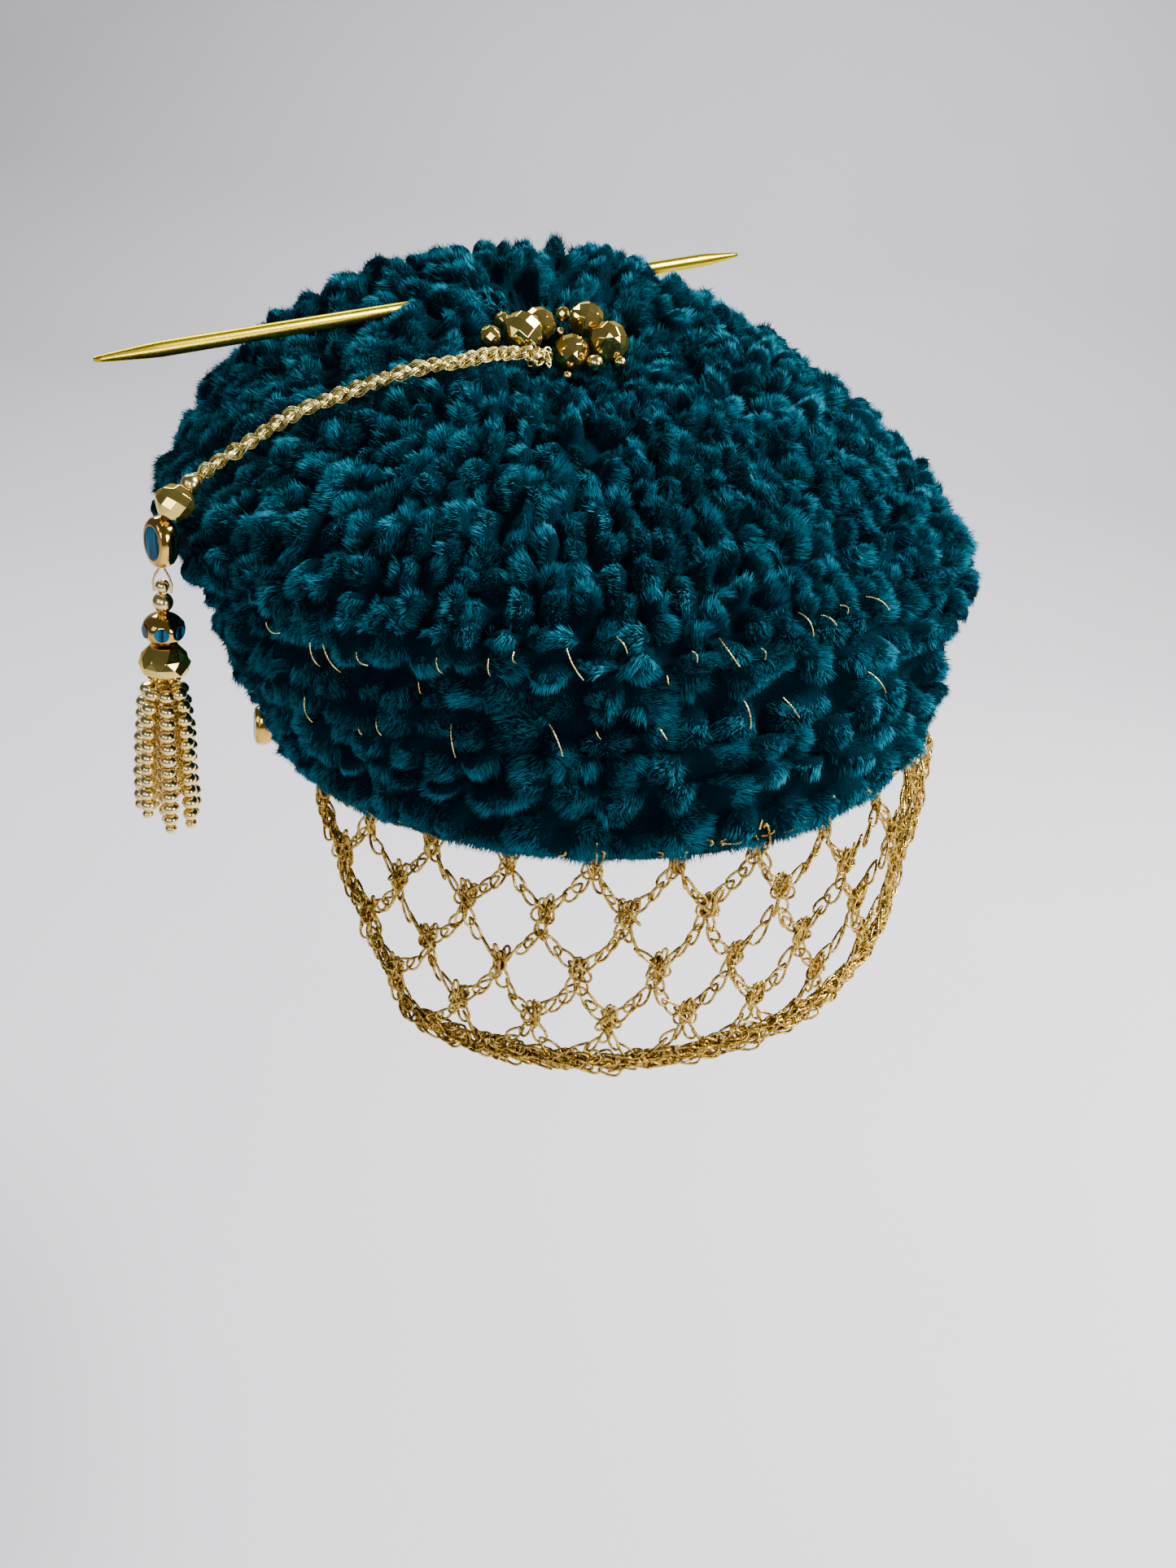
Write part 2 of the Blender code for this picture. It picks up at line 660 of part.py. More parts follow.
def make_tassel(metal):
    """Strands of beads, as ribbed strips that spread from a small cap and are fused to it."""
    cap = bmesh.new()
    bmesh.ops.create_cone(
        cap, cap_ends=True, segments=10, radius1=TASSEL_HEAD_RADIUS + TASSEL_STRAND * 1.4,
        radius2=TASSEL_STRAND, depth=TASSEL_CAP,
    )
    bmesh.ops.translate(cap, verts=cap.verts, vec=(0, 0, -TASSEL_CAP / 2))
    tassel = add_object("bead_tassel", cap, metal)
    for number in range(TASSEL_STRANDS):
        angle = math.tau * (number + 0.5) / TASSEL_STRANDS
        outward = Vector((math.cos(angle), math.sin(angle), 0))
        top = outward * TASSEL_HEAD_RADIUS + Vector((0, 0, -TASSEL_CAP * 0.6))
        shorter = TASSEL_UNEVEN * (number % 3) / 2
        foot = outward * TASSEL_FOOT_RADIUS + Vector((0, 0, shorter - TASSEL_LENGTH))
        bm = bmesh.new()
        rings = []
        for ring in range(TASSEL_RINGS + 1):
            share = ring / TASSEL_RINGS
            spread = share**TASSEL_SPREAD
            centre = Vector((
                top.x + (foot.x - top.x) * spread, top.y + (foot.y - top.y) * spread,
                top.z + (foot.z - top.z) * share,
            ))
            radius = TASSEL_STRAND * (1.0 if ring % 2 else TASSEL_WAIST)
            rings.append([
                bm.verts.new(centre + radius * Vector((
                    math.cos(angle + math.tau * side / 5), math.sin(angle + math.tau * side / 5), 0
                )))
                for side in range(5)
            ])
        for upper, lower in zip(rings, rings[1:]):
            for side in range(5):
                after = (side + 1) % 5
                bm.faces.new((upper[side], upper[after], lower[after], lower[side]))
        bm.faces.new(rings[0])
        bm.faces.new(rings[-1])
        strand = add_object(f"tassel_strand_{number}", bm, metal)
        strand.hide_render = True
        strand.display_type = "WIRE"
        join = tassel.modifiers.new(strand.name, "BOOLEAN")
        join.operation = "UNION"
        join.object = strand
    return tassel


def make_pendant(metal, glass):
    """The beads between the chain's end and the tassel, the lower ones hanging plumb."""
    first = add_object("chain_round_bead", round_bead(ROUND_BEAD, ROUND_BEAD), metal)
    place(first, worn(*ROUND_BEAD_AT))
    cut = faceted_bead(FACETED_BEAD, FACETED_BEAD * FACETED_BEAD_SHARE)
    second = add_object("chain_faceted_bead", cut, metal)
    place(second, worn(*FACETED_BEAD_AT), worn(*FACETED_BEAD_AT) - worn(*ROUND_BEAD_AT))
    window = add_object(
        "window_bead", window_bead(WINDOW_WIDTH, WINDOW_HEIGHT, WINDOW_THICKNESS), glass
    )
    place(window, worn(*PENDANT_AT, WINDOW_LEVEL), turn=CROWN_TURN + WINDOW_TURN)
    level = WINDOW_LEVEL - WINDOW_HEIGHT / 2 - GAP
    loop = add_object("wire_loop", make_wire_loop(LOOP_HEIGHT, LOOP_WIDTH, LOOP_WIRE), metal)
    place(loop, worn(*PENDANT_AT, level - LOOP_HEIGHT / 2))
    level -= LOOP_HEIGHT + GAP
    for row in HANGING_BEADS:
        make = faceted_bead if row["cut"] else round_bead
        surface = glass if row["glass"] else metal
        bead = add_object(row["name"], make(row["diameter"], row["height"]), surface)
        place(bead, worn(*PENDANT_AT, level - row["height"] / 2))
        level -= row["height"] + GAP
    tassel = make_tassel(metal)
    place(tassel, worn(*PENDANT_AT, level))
    for strand in (obj for obj in bpy.data.objects if obj.name.startswith("tassel_strand_")):
        strand.matrix_world = tassel.matrix_world


def make_side_bead(glass):
    bead = add_object(
        "side_bead", window_bead(WINDOW_WIDTH, WINDOW_HEIGHT, WINDOW_THICKNESS), glass
    )
    place(bead, worn(*SIDE_BEAD_AT), turn=CROWN_TURN + SIDE_BEAD_TURN)


def main():
    clear_scene()
    chenille = material("teal_chenille", (0.0, 0.105, 0.135), 0.95)
    thread = material("gold_thread", (0.72, 0.55, 0.26), 0.35, 0.8)
    needle_metal = material("anodised_gold", (0.55, 0.48, 0.10), 0.3, 1.0)
    bead_gold = material("gold_bead", (0.60, 0.45, 0.20), 0.2, 1.0)
    window_glass = material("window_glass", (0.01, 0.12, 0.28), 0.08)
    surface = make_crown(chenille)
    make_needle(needle_metal)
    make_net(thread)
    make_cluster(surface, bead_gold)
    make_chain(surface, thread)
    make_pendant(bead_gold, window_glass)
    make_side_bead(window_glass)


main()
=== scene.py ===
import math

import bmesh
import bpy
import numpy as np
from mathutils import Matrix, Vector
from mathutils.bvhtree import BVHTree


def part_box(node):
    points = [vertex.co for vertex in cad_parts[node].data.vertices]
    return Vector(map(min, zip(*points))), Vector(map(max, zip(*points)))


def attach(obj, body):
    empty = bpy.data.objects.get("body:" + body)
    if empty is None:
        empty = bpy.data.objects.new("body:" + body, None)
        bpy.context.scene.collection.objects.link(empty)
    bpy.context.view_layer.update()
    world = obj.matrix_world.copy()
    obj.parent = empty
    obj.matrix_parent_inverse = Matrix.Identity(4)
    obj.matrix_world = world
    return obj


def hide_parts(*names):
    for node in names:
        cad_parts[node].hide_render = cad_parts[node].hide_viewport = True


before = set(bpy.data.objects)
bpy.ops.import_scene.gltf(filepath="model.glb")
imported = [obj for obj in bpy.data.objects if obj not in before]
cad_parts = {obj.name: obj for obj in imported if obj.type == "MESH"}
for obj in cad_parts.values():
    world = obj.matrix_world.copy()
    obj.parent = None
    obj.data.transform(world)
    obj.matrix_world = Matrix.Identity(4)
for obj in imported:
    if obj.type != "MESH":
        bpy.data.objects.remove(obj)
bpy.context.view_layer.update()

# The crown is a puffed beret, knitted of bulky teal chenille on a fitted band. Its outer surface is
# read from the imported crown, in sections from the rim up to the middle of the top, all round an
# upright axis, with points at equal distances.

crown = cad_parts["crown"]
skin = BVHTree.FromPolygons([v.co for v in crown.data.vertices], [p.vertices[:] for p in crown.data.polygons])
CROWN_TURN = math.radians(-22)
OPENING = (0.0750, 0.0925)  # half width and half length of the head opening
RIM = (0.0017, 0.159, -0.207, 0.90)  # height at the middle, rise along X and along Y, curve along X
WALL = 0.0065
CENTRE = (-0.0133, 0.0151)
INSIDE = 0.045  # a height from which the whole outer surface is in view
COLUMNS = 420
RINGS = 150


def unit(vectors):
    return vectors / np.maximum(np.linalg.norm(vectors, axis=-1, keepdims=True), 1e-12)


def rim_height(x, y):
    return RIM[0] + RIM[1] * x + RIM[2] * y + RIM[3] * x * x


def section(angle):
    """Points of the outer surface from the rim to the middle of the top, in this direction."""
    cx, cy = CENTRE
    dx, dy = math.cos(angle), math.sin(angle)
    a = (dx / (OPENING[0] + WALL)) ** 2 + (dy / (OPENING[1] + WALL)) ** 2
    b = cx * dx / (OPENING[0] + WALL) ** 2 + cy * dy / (OPENING[1] + WALL) ** 2
    c = (cx / (OPENING[0] + WALL)) ** 2 + (cy / (OPENING[1] + WALL)) ** 2 - 1
    reach = (-b + math.sqrt(b * b - a * c)) / a
    x, y = cx + dx * reach, cy + dy * reach
    foot = Vector((x, y, rim_height(x, y)))
    low = math.atan2(foot.z - INSIDE, reach)
    inner = Vector((cx, cy, INSIDE))
    points = [foot]
    for rise in np.linspace(low + 0.012, math.pi / 2, 150):
        out = Vector((dx * math.cos(rise), dy * math.cos(rise), math.sin(rise)))
        hit = skin.ray_cast(inner + out * 0.2, -out, 0.2)[0]
        if hit is not None:
            points.append(hit)
    return np.array(points)


def evenly(points, count):
    """The same line as count points at equal distances along it."""
    steps = np.linalg.norm(np.diff(points, axis=0), axis=1)
    along = np.concatenate([[0.0], np.cumsum(steps)])
    at = np.linspace(0, along[-1], count)
    return np.stack([np.interp(at, along, points[:, axis]) for axis in range(3)], 1)


grid = np.stack([evenly(section(math.tau * k / COLUMNS), RINGS) for k in range(COLUMNS)])
for _ in range(3):
    grid[:, 1:-1] = (grid[:, :-2] + 2 * grid[:, 1:-1] + grid[:, 2:]) / 4
around = unit(np.roll(grid, -1, 0) - np.roll(grid, 1, 0))
around[:, -1] = around[:, -2]
upward = unit(np.gradient(grid, axis=1))
outward = unit(np.cross(around, upward))
outward[:, -1] = outward[:, :-1].mean(0)[-1]


def on_surface(column, ring, field):
    """A field of the grid at fractional columns and rings."""
    column = np.asarray(column) % COLUMNS
    ring = np.clip(ring, 0, RINGS - 1.001)
    c0, r0 = column.astype(int), ring.astype(int)
    c, r = (column - c0)[..., None], (ring - r0)[..., None]
    c1 = (c0 + 1) % COLUMNS
    return ((field[c0, r0] * (1 - c) + field[c1, r0] * c) * (1 - r)
            + (field[c0, r0 + 1] * (1 - c) + field[c1, r0 + 1] * c) * r)


# The knit: stitches of bulky chenille in ribs that run out from the middle of the top, and in
# staggered rows on the fitted band. Each stitch is a lump of the surface and a tuft of pile.

rng = np.random.default_rng(7)
ROWS = 21
BAND_ROWS = 6
STITCH = {"band": 0.0085, "top": 0.0068}

girth_at_rim = np.linalg.norm(np.diff(grid[:, 0], axis=0, append=grid[:1, 0]), axis=1).sum()
tufts = []
for row in range(ROWS):
    share = (row + 0.5) / ROWS
    ring = share * (RINGS - 1)
    girth = np.linalg.norm(np.diff(grid[:, int(ring)], axis=0, append=grid[:1, int(ring)]), axis=1).sum()
    band = row < BAND_ROWS
    pitch = STITCH["band" if band else "top"]
    stitches = max(4, int(girth / pitch)) if band else max(4, 8 * round(girth / pitch / 8))
    shift = 0.5 * (row % 2) if band else 0.25 * rng.random()
    for k in range(stitches):
        tufts.append({
            "column": (k + shift + rng.normal(0, 0.12 if row < 14 else 0.25)) / stitches * COLUMNS,
            "ring": ring + rng.normal(0, 0.16) * RINGS / ROWS,
            "wide": girth / stitches * (0.50 if band else 0.46) * rng.uniform(0.75, 1.2),
            "long": (0.48 if band else 0.60 if row < 14 else 0.50) / ROWS * rng.uniform(0.6, 1.3),
            "high": rng.uniform(0.0028, 0.0060),
            "comb": rng.normal(0, 0.45),
            "fall": rng.uniform(0.2, 0.8) if band else rng.normal(0.15, 0.45),
            "tone": rng.uniform(0, 1),
            "band": band,
        })
HEM = 84  # short tufts that hang over the rim's edge
for k in range(HEM):
    tufts.append({
        "column": (k + rng.normal(0, 0.2)) / HEM * COLUMNS,
        "ring": 1.0 + rng.normal(0, 0.5),
        "wide": girth_at_rim / HEM * rng.uniform(0.6, 0.9),
        "long": 0.30 / ROWS,
        "high": rng.uniform(0.0028, 0.0044),
        "comb": rng.normal(0, 0.35),
        "fall": rng.uniform(0.9, 1.5),
        "tone": rng.uniform(0, 0.8),
        "band": True,
    })
tufts = {key: np.array([tuft[key] for tuft in tufts]) for key in tufts[0]}

GROOVE = -0.0046
girths = np.linalg.norm(np.diff(grid, axis=0, append=grid[:1]), axis=2).sum(0)
relief = np.full((COLUMNS, RINGS), GROOVE)
all_columns, all_rings = np.arange(COLUMNS), np.arange(RINGS)
for i in range(len(tufts["ring"])):
    du = (all_columns - tufts["column"][i] + COLUMNS / 2) % COLUMNS - COLUMNS / 2
    du = du[:, None] / COLUMNS * girths[None, :] / tufts["wide"][i]
    dv = (all_rings - tufts["ring"][i])[None, :] / RINGS / tufts["long"][i]
    near = du * du + dv * dv < 1
    rise = np.sqrt(np.where(near, 1 - du * du - dv * dv, 0))
    relief = np.where(near, np.maximum(relief, GROOVE + tufts["high"][i] * rise), relief)
rim_ease = np.clip(all_rings / 4, 0, 1)
broken = rng.normal(0, 1, (COLUMNS, RINGS))
for axis_, turns in ((0, 2), (1, 2)):
    for _ in range(turns):
        broken = np.roll(broken, 1, axis_) + broken + np.roll(broken, -1, axis_)
relief += np.clip(broken / broken.std(), -2, 2) * 0.0006
relief = relief * rim_ease[None, :] - 0.0010 * (1 - rim_ease[None, :])


class Value:
    """A shader socket that can be added, multiplied and so on."""

    def __init__(self, look, socket):
        self.look, self.socket = look, socket

    def math(self, kind, *others, **settings):
        return self.look.node("ShaderNodeMath", [self, *others], operation=kind, **settings)

    def __add__(self, other):
        return self.math("ADD", other)

    def __sub__(self, other):
        return self.math("SUBTRACT", other)

    def __rsub__(self, other):
        return self.look.node("ShaderNodeMath", [other, self], operation="SUBTRACT")

    def __mul__(self, other):
        return self.math("MULTIPLY", other)

    def __pow__(self, other):
        return self.math("POWER", other)

    def clamp(self):
        return self.math("ADD", 0.0, use_clamp=True)

    __radd__ = __add__
    __rmul__ = __mul__


class Look:
    """A material built round one Principled shader."""

    def __init__(self, name, **constants):
        self.material = bpy.data.materials.new(name)
        self.material.use_nodes = True
        self.tree = self.material.node_tree
        self.shader = self.tree.nodes["Principled BSDF"]
        for key, value in constants.items():
            self.shader.inputs[key.replace("_", " ")].default_value = value

    def node(self, kind, inputs=(), output=0, **settings):
        made = self.tree.nodes.new(kind)
        for key, value in settings.items():
            setattr(made, key, value)
        pairs = inputs.items() if isinstance(inputs, dict) else enumerate(inputs)
        for key, value in pairs:
            if isinstance(value, Value):
                self.tree.links.new(value.socket, made.inputs[key])
            else:
                made.inputs[key].default_value = value
        return Value(self, made.outputs[output])

    def place(self):
        return self.node("ShaderNodeTexCoord", output="Object")

    def uv(self):
        split = self.tree.nodes.new("ShaderNodeSeparateXYZ")
        self.tree.links.new(self.node("ShaderNodeTexCoord", output="UV").socket, split.inputs[0])
        return Value(self, split.outputs[0]), Value(self, split.outputs[1])

    def noise(self, scale, detail=3.0, rough=0.5):
        settings = {"Vector": self.place(), "Scale": scale, "Detail": detail, "Roughness": rough}
        return self.node("ShaderNodeTexNoise", settings)

    def mix(self, amount, first, second):
        made = self.tree.nodes.new("ShaderNodeMix")
        made.data_type = "RGBA"
        for index, value in ((0, amount), (6, first), (7, second)):
            if isinstance(value, Value):
                self.tree.links.new(value.socket, made.inputs[index])
            else:
                made.inputs[index].default_value = value if index == 0 else (*value, 1.0)
        return Value(self, made.outputs[2])

    def set(self, name, value):
        self.tree.links.new(value.socket, self.shader.inputs[name])

    def bump(self, height, strength, distance):
        settings = {"Strength": strength, "Distance": distance, "Height": height}
        self.set("Normal", self.node("ShaderNodeBump", settings))


pile = Look("pile", Roughness=0.8, Specular_IOR_Level=0.04, Sheen_Weight=0.07, Sheen_Roughness=0.5,
            Sheen_Tint=(0.0, 0.65, 0.85, 1.0))
# The fibres are painted near black at the root and brighter towards the tip: painted shade deep in the pile.
# The UV pair carries a random tone across the fibres and this painted shade along them.
tone, tip = pile.uv()
depth = (tip ** 1.5).clamp()
root_painted_shade = pile.mix(tone, (0.0000, 0.0012, 0.0028), (0.0001, 0.0055, 0.0105))
tip_colour = pile.mix(tone, (0.0002, 0.1280, 0.1950), (0.0010, 0.3850, 0.5650))
patches = pile.noise(38.0, 2.0)
fibre_colour_and_shade = pile.mix(depth, root_painted_shade, tip_colour)
pile.set("Base Color", pile.mix((patches * 1.6 - 0.55).clamp() * 0.5, fibre_colour_and_shade, (0.0001, 0.0260, 0.0450)))
pile.set("Roughness", 0.9 - 0.3 * tip)

# The knit under the pile is painted near black: painted shade where it shows between the tufts and on the
# lining inside the crown. The fuzz over it varies at random.
ground = Look("knit_ground_painted_shade", Roughness=0.9, Specular_IOR_Level=0.02)
fuzz = ground.noise(1400.0, 5.0, 0.7)
ground.set("Base Color", ground.mix(fuzz, (0.0000, 0.0035, 0.0068), (0.0001, 0.0180, 0.0300)))
ground.set("Roughness", 0.80 + 0.2 * fuzz)
ground.bump(fuzz, 0.9, 0.0008)

# Beads, chain and needle press the pile down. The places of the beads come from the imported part,
# and the chain's route and the needle's line are those of the part's source.
CLUSTER = [f"cluster_rondelle_{k}" for k in range(1, 6)] + [f"cluster_bead_{k}" for k in range(1, 8)]
PENDANT = ["chain_round_bead", "chain_faceted_bead", "window_bead", "side_bead"]


def middle(node):
    low_corner, high_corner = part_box(node)
    return (Vector(low_corner) + Vector(high_corner)) / 2


def half_size(node):
    low_corner, high_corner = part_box(node)
    return max(Vector(high_corner) - Vector(low_corner)) / 2


solid_balls = [(np.array(middle(node)), half_size(node)) for node in CLUSTER + PENDANT]
CHAIN_ROUTE = (
    (-0.0212, 0.0030), (-0.0240, -0.0008), (-0.0270, -0.0022), (-0.0299, -0.0056), (-0.0324, -0.0112),
    (-0.0350, -0.0161), (-0.0380, -0.0200), (-0.0411, -0.0224), (-0.0441, -0.0238), (-0.0515, -0.0278),
    (-0.0580, -0.0295), (-0.0645, -0.0328), (-0.0700, -0.0358), (-0.0757, -0.0382), (-0.0810, -0.0410),
    (-0.0862, -0.0436), (-0.0907, -0.0470),
)
CHAIN_LIFT, CHAIN_RISE = 0.0027, 0.0025
NEEDLE_MIDDLE = (-0.0445, 0.0330, 0.0980)
NEEDLE_HEADING, NEEDLE_RISE = math.radians(45.6), math.radians(5.9)
turn_crown = np.array(Matrix.Rotation(CROWN_TURN, 3, "Z"))
chain_line = []
for number, (x, y) in enumerate(CHAIN_ROUTE):
    over = Vector(turn_crown @ (x, y, 0.15))
    hit, slope = skin.ray_cast(over, Vector((0, 0, -1)))[:2]
    chain_line.append(hit + slope * (CHAIN_LIFT + CHAIN_RISE * max(0, 1 - number / 4)))
chain_line = evenly(np.array(chain_line), 90)
kernel = np.ones(9) / 9
for axis in range(3):
    padded = np.pad(chain_line[:, axis], 4, mode="reflect", reflect_type="odd")
    chain_line[:, axis] = np.convolve(padded, kernel, mode="valid")

needle_aim = Vector(turn_crown @ (math.cos(NEEDLE_RISE) * math.cos(NEEDLE_HEADING),
                                  math.cos(NEEDLE_RISE) * math.sin(NEEDLE_HEADING), math.sin(NEEDLE_RISE)))
NEEDLE_SHOWS = (-0.060, -0.008)  # the stretch that lies on the pile before the fold
needle_steps = np.linspace(*NEEDLE_SHOWS, 40)
needle_line = np.array([turn_crown @ NEEDLE_MIDDLE + np.array(needle_aim) * t for t in needle_steps])

BEAD_REACH, BEAD_LEAVES = 0.0022, -0.0006  # how far past a bead the knit is pressed, and to which height
CHAIN_REACH, CHAIN_LEAVES = 0.0042, 0.0002
NEEDLE_REACH, NEEDLE_LEAVES = 0.0050, -0.0016


def pressed(point, reach, leaves):
    """The relief with no more than this height left within reach of a point."""
    close = np.linalg.norm(grid - point, axis=2) < reach
    return np.where(close, np.minimum(relief, leaves), relief)


for centre, radius in solid_balls:
    relief = pressed(centre, radius + BEAD_REACH, BEAD_LEAVES)
for point in chain_line[::3]:
    relief = pressed(point, CHAIN_REACH, CHAIN_LEAVES)
for point in needle_line:
    relief = pressed(point, NEEDLE_REACH, NEEDLE_LEAVES)

FRINGE = 0.0034  # how far the last row hangs below the rim in front
in_front = np.clip(-unit(outward[:, :1])[..., 1:2], 0, 1)
fringe = FRINGE * in_front * np.clip(1 - all_rings / 11, 0, 1)[None, :, None]
top = grid + outward * relief[..., None] - fringe * (0, 0, 1)
INNER_STEP = 6
inner_grid = grid[::INNER_STEP, :-INNER_STEP:INNER_STEP]
inner_rows = []
for ring in range(inner_grid.shape[1]):
    for column in range(inner_grid.shape[0]):
        point = Vector(inner_grid[column, ring])
        aim = (Vector((*CENTRE, INSIDE)) - point).normalized()
        start = Vector((*CENTRE, INSIDE))
        hit = skin.ray_cast(start, -aim, 0.2)[0] if ring else None
        inner_rows.append(hit if hit is not None else point + aim * WALL)
inner_points = np.array(inner_rows).reshape(inner_grid.shape[1], inner_grid.shape[0], 3)

outer_index = np.arange(RINGS * COLUMNS).reshape(RINGS, COLUMNS)
low, high = outer_index[:-1], outer_index[1:]
outer_faces = np.stack([low, np.roll(low, -1, 1), np.roll(high, -1, 1), high], -1).reshape(-1, 4)


def mesh_object(name, points, faces, look, uv=None, smooth=True):
    """One mesh from arrays of vertices and of equal faces, with a UV pair for each vertex if given."""
    points = np.asarray(points, np.float32).reshape(-1, 3)
    faces = np.asarray(faces, np.int32)
    sides = faces.shape[1]
    mesh = bpy.data.meshes.new(name)
    mesh.vertices.add(len(points))
    mesh.vertices.foreach_set("co", points.ravel())
    mesh.loops.add(faces.size)
    mesh.loops.foreach_set("vertex_index", faces.ravel())
    mesh.polygons.add(len(faces))
    mesh.polygons.foreach_set("loop_start", np.arange(0, faces.size, sides, dtype=np.int32))
    mesh.polygons.foreach_set("use_smooth", np.full(len(faces), smooth))
    if uv is not None:
        layer = mesh.uv_layers.new(name="UVMap")
        layer.uv.foreach_set("vector", np.asarray(uv, np.float32).reshape(-1, 2)[faces.ravel()].ravel())
    mesh.update(calc_edges=True)
    mesh.materials.append(look)
    made = bpy.data.objects.new(name, mesh)
    bpy.context.scene.collection.objects.link(made)
    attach(made, "root")
    return made


knit = mesh_object("crown_knit", top.transpose(1, 0, 2), outer_faces, ground.material)
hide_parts("crown")

# The lining side is the plain inside of the same knit, which nothing covers. It runs from the rim
# up and closes at the top.

rows, columns = inner_points.shape[:2]
rim_edge = top[::INNER_STEP, 0]
lining_top = np.broadcast_to(inner_points[-1].mean(0), (1, columns, 3))
lining_points = np.concatenate([rim_edge[None], inner_points, lining_top])
index = np.arange((rows + 2) * columns).reshape(rows + 2, columns)
low, high = index[:-1], index[1:]
lining_faces = np.stack([np.roll(low, -1, 1), low, high, np.roll(high, -1, 1)], -1).reshape(-1, 4)
lining = mesh_object("crown_lining", lining_points, lining_faces, ground.material)
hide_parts("crown")

# The pile is the chenille's cut fibre, which hides the stitches under it. Fine fibres fan out of
# each tuft in small clumps, combed to one side, and are joined in four pieces round the crown.

FIBRES = 540000
FIBRE_LENGTH = (0.0013, 0.0025)
FIBRE_WIDTH = 0.00026
CLUMPS = 7  # small clumps that the pile of one stitch parts into
CLUMP_LEAN, CLUMP_HEIGHTS = 0.46, (0.45, 1.35)
FAN_IN_TUFT, FAN_IN_CLUMP, STRAY = 0.22, 0.14, 0.13
CLEAR_OF_CHAIN, CLEAR_OF_NEEDLE = 0.0032, 0.0024
area = tufts["wide"] * tufts["long"]
weight = area / area.sum()
owner = rng.choice(len(weight), FIBRES, p=weight)
reach = np.sqrt(rng.random(FIBRES)) * 1.02
turn = rng.random(FIBRES) * math.tau
du, dv = reach * np.cos(turn), reach * np.sin(turn)
clump_at = rng.normal(0, 0.55, (len(weight), CLUMPS, 2))
near_clump = np.argmin(np.hypot(du[:, None] - clump_at[owner, :, 0], dv[:, None] - clump_at[owner, :, 1]), 1)
off_clump = np.stack([du, dv], 1) - clump_at[owner, near_clump]
clump_lean = rng.normal(0, CLUMP_LEAN, (len(weight), CLUMPS, 2))[owner, near_clump]
clump_tall = rng.uniform(*CLUMP_HEIGHTS, (len(weight), CLUMPS))[owner, near_clump]
clump_tone = rng.random((len(weight), CLUMPS))[owner, near_clump]
ring = np.clip(tufts["ring"][owner] + dv * tufts["long"][owner] * RINGS, 0.3, RINGS - 2)
girth_here = np.interp(ring, all_rings, girths)
column = tufts["column"][owner] + du * tufts["wide"][owner] / girth_here * COLUMNS
base = on_surface(column, ring, grid)
along_row, along_rib, normal = (on_surface(column, ring, field) for field in (around, upward, outward))
lift = on_surface(column, ring, relief[..., None])
noise = rng.normal(0, STRAY, (FIBRES, 3))
lean_side = (FAN_IN_TUFT * du + FAN_IN_CLUMP * off_clump[:, 0]
             + tufts["comb"][owner] + clump_lean[:, 0] + noise[:, 0])
lean_down = (FAN_IN_TUFT * dv + FAN_IN_CLUMP * off_clump[:, 1]
             - tufts["fall"][owner] + clump_lean[:, 1] + noise[:, 1])
direction = unit(normal * (0.72 + 0.25 * noise[:, 2])[:, None]
                 + along_row * lean_side[:, None] + along_rib * lean_down[:, None])
length = rng.uniform(*FIBRE_LENGTH, FIBRES) * clump_tall
root = base + normal * (lift - 0.0002) - on_surface(column, ring, fringe) * (0, 0, 1)
beside_chain = np.min([np.linalg.norm(root - point, axis=1) for point in chain_line[::2]], axis=0)
length *= np.clip(beside_chain / CLEAR_OF_CHAIN, 0.35, 1)
tip_point = root + direction * length[:, None]
beside_needle = np.min([np.linalg.norm(tip_point - point, axis=1) for point in needle_line], axis=0)
kept = beside_needle > CLEAR_OF_NEEDLE
for centre, radius in solid_balls:
    kept &= np.linalg.norm((root + tip_point) / 2 - centre, axis=1) > radius + 0.0003
    kept &= np.linalg.norm(tip_point - centre, axis=1) > radius
flat_on = unit(normal + rng.normal(0, 0.45, (FIBRES, 3)))
sideways = unit(np.cross(direction, flat_on)) * FIBRE_WIDTH / 2
fibre_tone = 0.30 * tufts["tone"][owner] + 0.65 * clump_tone ** 1.5 + 0.25 * rng.random(FIBRES) - 0.05
fibre_tone = np.clip(fibre_tone, 0, 1)
# The tips are painted darker towards the edges of each tuft and in short clumps: painted shade in the gaps
# between the tufts. The second UV value carries this painted shade, the first the random tone.
crest = np.sqrt(np.clip(1 - reach ** 2, 0, 1))
tip_out_of_shade = np.clip((0.38 + 0.75 * crest) * (0.55 + 0.45 * clump_tall / 1.25), 0, 1)
corners = np.stack([root - sideways, root + sideways, tip_point], 1)
tone_and_shade = np.stack([np.repeat(fibre_tone[:, None], 3, 1), tip_out_of_shade[:, None] * [0.1, 0.1, 1.0]], -1)
quarter = ((column % COLUMNS) / COLUMNS * 4).astype(int)
for number in range(4):
    chosen = (quarter == number) & kept
    count = int(chosen.sum())
    tuft_pile = mesh_object(f"pile_{number + 1}", corners[chosen], np.arange(count * 3).reshape(-1, 3),
                            pile.material, tone_and_shade[chosen], smooth=False)

# The needle is a double-pointed one, anodised in a gold that turns to olive, with brushed rings. It
# is pushed through a fold of the crown and held there by the wool.

NEEDLE_TIP = ((0.0, 0.1015), (0.00045, 0.1013), (0.00065, 0.1009), (0.00080, 0.0995), (0.00126, 0.0935),
              (0.00160, 0.0890), (0.00175, 0.0860))
NEEDLE_PROFILE = (*NEEDLE_TIP, (0.00175, 0.0), *((out, -along) for out, along in NEEDLE_TIP[::-1]))


